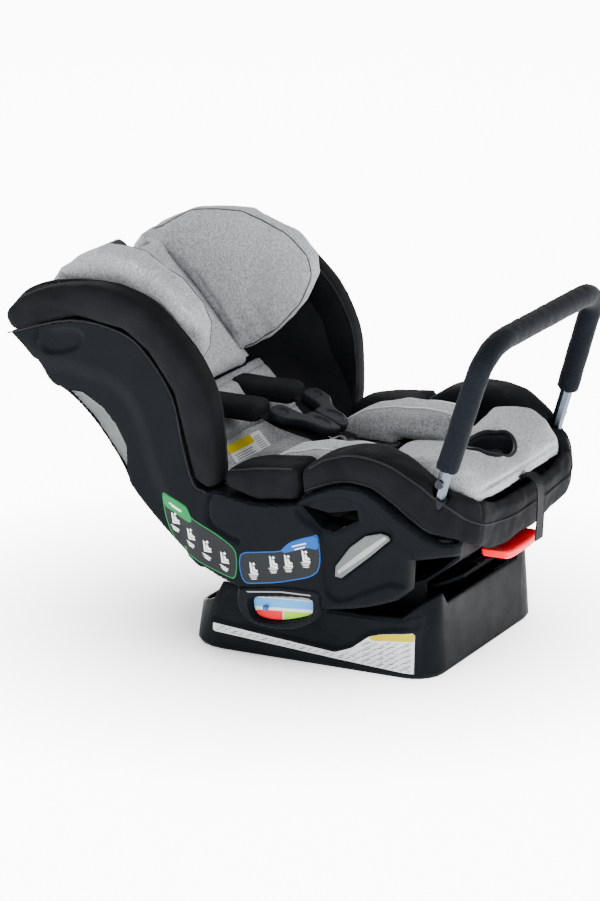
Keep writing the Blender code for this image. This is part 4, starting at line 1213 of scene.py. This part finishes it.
def slab(name, profile, reach):
    """A small grey pad with this (t, n) profile across the back, out to reach on both sides."""
    rings = [[back(x, t, n) for t, n in profile] for x in (-reach, -0.05, 0.05, reach)]
    piece = finer(remeshed(loft(name, rings, 60), 0.004, 4))
    ripple(piece, 0.0014, (16, 26, 26), len(name))
    shade(piece, 70)
    dress(piece, "grey_fabric", "shell")
    return piece


def shell_rib(name, side):
    """The rib that closes the shell between the tub and the moulded side."""
    path = [back(0, t, -0.058) for t in (0.400, 0.300, 0.200, 0.100, 0.010)]
    path += [Vector((0, 0.040, 0.154)), Vector((0, 0.005, 0.154)), Vector((0, -0.030, 0.155))]
    line = even(through(path, 4), 0.006)
    section = ((0.149, -0.0015), (0.1985, -0.0015), (0.1985, 0.0015), (0.149, 0.0015))
    rings = []
    for i, point in enumerate(line):
        out = heading(line, i).cross(Vector((1, 0, 0)))
        rings.append([point + Vector((side * x, 0, 0)) + out * n for x, n in section])
    dress(loft("shell_rib_" + name, rings), "shell_plastic", "shell")


def seat_joint():
    """The cover where the back meets the seat, the strip above the back pad and their label."""
    low_pad = slab("back_cover_low", [(0.034, -0.022), (0.036, -0.004), (0.060, -0.001),
                                      (0.096, -0.003), (0.096, -0.024)], 0.147)
    slab("back_cover_high", [(0.168, -0.024), (0.168, -0.005), (0.184, -0.006),
                             (0.184, -0.0135), (0.180, -0.024)], 0.146)
    tree = tree_of(low_pad)

    def on_pad(a, b, c):
        hit = tree.ray_cast(back(a, b, 0.05), -BACK_OUT)[0]
        rise = (hit - BACK_FOOT).dot(BACK_OUT) if hit else 0.0
        return back(a, b, max(rise, -0.004) + c)

    def box(x0, t0, x1, t1):
        return [(x0, t0), (x1, t0), (x1, t1), (x0, t1)]

    film = printer(level(0.0), on_pad, "shell")
    film("seat_label_field", [box(-0.094, 0.046, 0.012, 0.0865)], "label_white", 0.0006)
    film("seat_label_head", [box(-0.094, 0.0735, -0.018, 0.0865)], "label_yellow", 0.0009)
    lines = [box(-0.088, 0.0500 + 0.0036 * i, -0.030 if i % 2 else -0.036, 0.0510 + 0.0036 * i)
             for i in range(6)]
    lines += [box(-0.018, 0.0500 + 0.0036 * i, 0.006, 0.0510 + 0.0036 * i) for i in range(9)]
    film("seat_label_lines", lines, "label_text", 0.0009)


BASE_BAND = ((0.058, 0.0445), (-0.035, 0.0380), (-0.1483, 0.0290), (-0.1741, 0.0390),
             (-0.1997, 0.0590), (-0.2338, 0.0680), (-0.2750, 0.0760), (-0.2750, -0.0100),
             (0.0900, -0.0100), (0.0900, 0.0470))
APRON = ((0.0480, 0.0085), (-0.1000, 0.0075), (-0.2760, 0.0075), (-0.2780, 0.0950),
         (-0.2620, 0.0920), (-0.2460, 0.0820), (-0.2000, 0.0795), (-0.1200, 0.0795), (-0.0500, 0.0830),
         (0.0080, 0.0930), (0.0270, 0.0950), (0.0420, 0.0700), (0.0500, 0.0400))
BASE_LABEL = ((0.0440, 0.0390), (-0.0350, 0.0330), (-0.1483, 0.0245), (-0.1741, 0.0345),
              (-0.1997, 0.0545), (-0.2200, 0.0605), (-0.2680, 0.0680), (-0.2690, 0.0100),
              (-0.1500, 0.0160), (0.0440, 0.0275))
BASE_HEAD = ((-0.1990, 0.0540), (-0.2200, 0.0602), (-0.2678, 0.0676), (-0.2680, 0.0560),
             (-0.2250, 0.0520), (-0.2050, 0.0490))


def base_wall(flat):
    """The tray's outer wall, with its rounded front corner."""
    past = np.clip(-0.2510 - flat[:, 0], 0, 0.040)
    turn = 0.045 - np.sqrt(0.045 ** 2 - past ** 2)
    return 0.1800 - 0.0950 * np.maximum(0, flat[:, 1] - 0.006) - turn


def base_apron(name, side):
    """The base's side wall with its raised band, and the long label along its foot."""
    outline = even(APRON, 0.004, True)

    def top(flat):
        band = 0.0040 * step(signed(flat, BASE_BAND), -0.0035, 0.0035)
        ledge = 0.0016 * step(flat[:, 1], 0.0735, 0.0765)
        return (base_wall(flat) + 0.0022 + band + ledge
                - 0.35 * rolled(signed(flat, outline), 0.006))

    apron = field("base_apron_" + name, outline, 0.0035, top, base_wall, outward(side))
    dress(apron, "base_plastic", "base")
    film = printer(seen_from(apron, side), outward(side), "base")
    smooth = [tuple(p) for p in even(BASE_LABEL, 0.004, True)]
    film("base_label_" + name, [smooth], "label_white", 0.0003)
    film("base_label_head_" + name, [even(BASE_HEAD, 0.003, True)], "label_yellow", 0.0006)
    inner = shrink_outline(smooth, 0.0018)
    lines = []
    for row in range(19):
        for start in np.arange(0.041 - 0.0035 * (row % 3), -0.265, -0.0120):
            length = 0.0110 - 0.0020 * ((row * 7 + int(start * 400)) % 3)
            foot = np.interp(start, (-0.269, -0.150, 0.044), (0.0100, 0.0160, 0.0275))
            line = bar(start, foot + 0.0026 + 0.0027 * row, length, 0.0012, -0.065)
            if (signed(np.array(line), inner).min() > 0
                    and signed(np.array(line), BASE_HEAD).max() < -0.001):
                lines.append(line)
    film("base_label_lines_" + name, lines, "label_text", 0.0006, 0.006)


place_camera()
light_room()
ALL_SOFT = soft_pieces()
for side_name, side in SIDES:
    panel_labels(side_name, side, side_panel(side_name, side))
    indicator(side_name, side)
    wing_lining(side_name, side)
    base_apron(side_name, side)
    shell_rib(side_name, side)
    trims(side_name, side)
seat_joint()
harness()
front_trim()
for node, finish, body, width in (("base_tray", "base_plastic", "base", 0.0035),
                                  ("recline_handle", "red_plastic", "recline_handle", 0.0030),
                                  ("rear_cover", "pale_plastic", "shell", 0.0030),
                                  ("headrest_handle", "clip_plastic", "headrest_handle", 0.002),
                                  ("adjuster_button", "clip_plastic", "adjuster_button", 0.003),
                                  ("bar_socket_left", "clip_plastic", "shell", 0.0012),
                                  ("bar_socket_right", "clip_plastic", "shell", 0.0012),
                                  ("side_inset_left", "pale_plastic", "shell", 0.0012),
                                  ("side_inset_right", "pale_plastic", "shell", 0.0012),
                                  ("buckle_button", "red_plastic", "buckle_button", 0.0008)):
    bevelled(node, finish, body, width)

for node in nodes.values():
    for slot in node.material_slots:
        if slot.material and slot.material.name.split(".")[0] in FINISHES:
            slot.material = FINISHES[slot.material.name.split(".")[0]]
for side_name, _ in SIDES:
    for node in ("rebound_bar_bolt_", "buckle_tongue_"):
        for slot in nodes[node + side_name].material_slots:
            slot.material = FINISHES["dark_steel"]
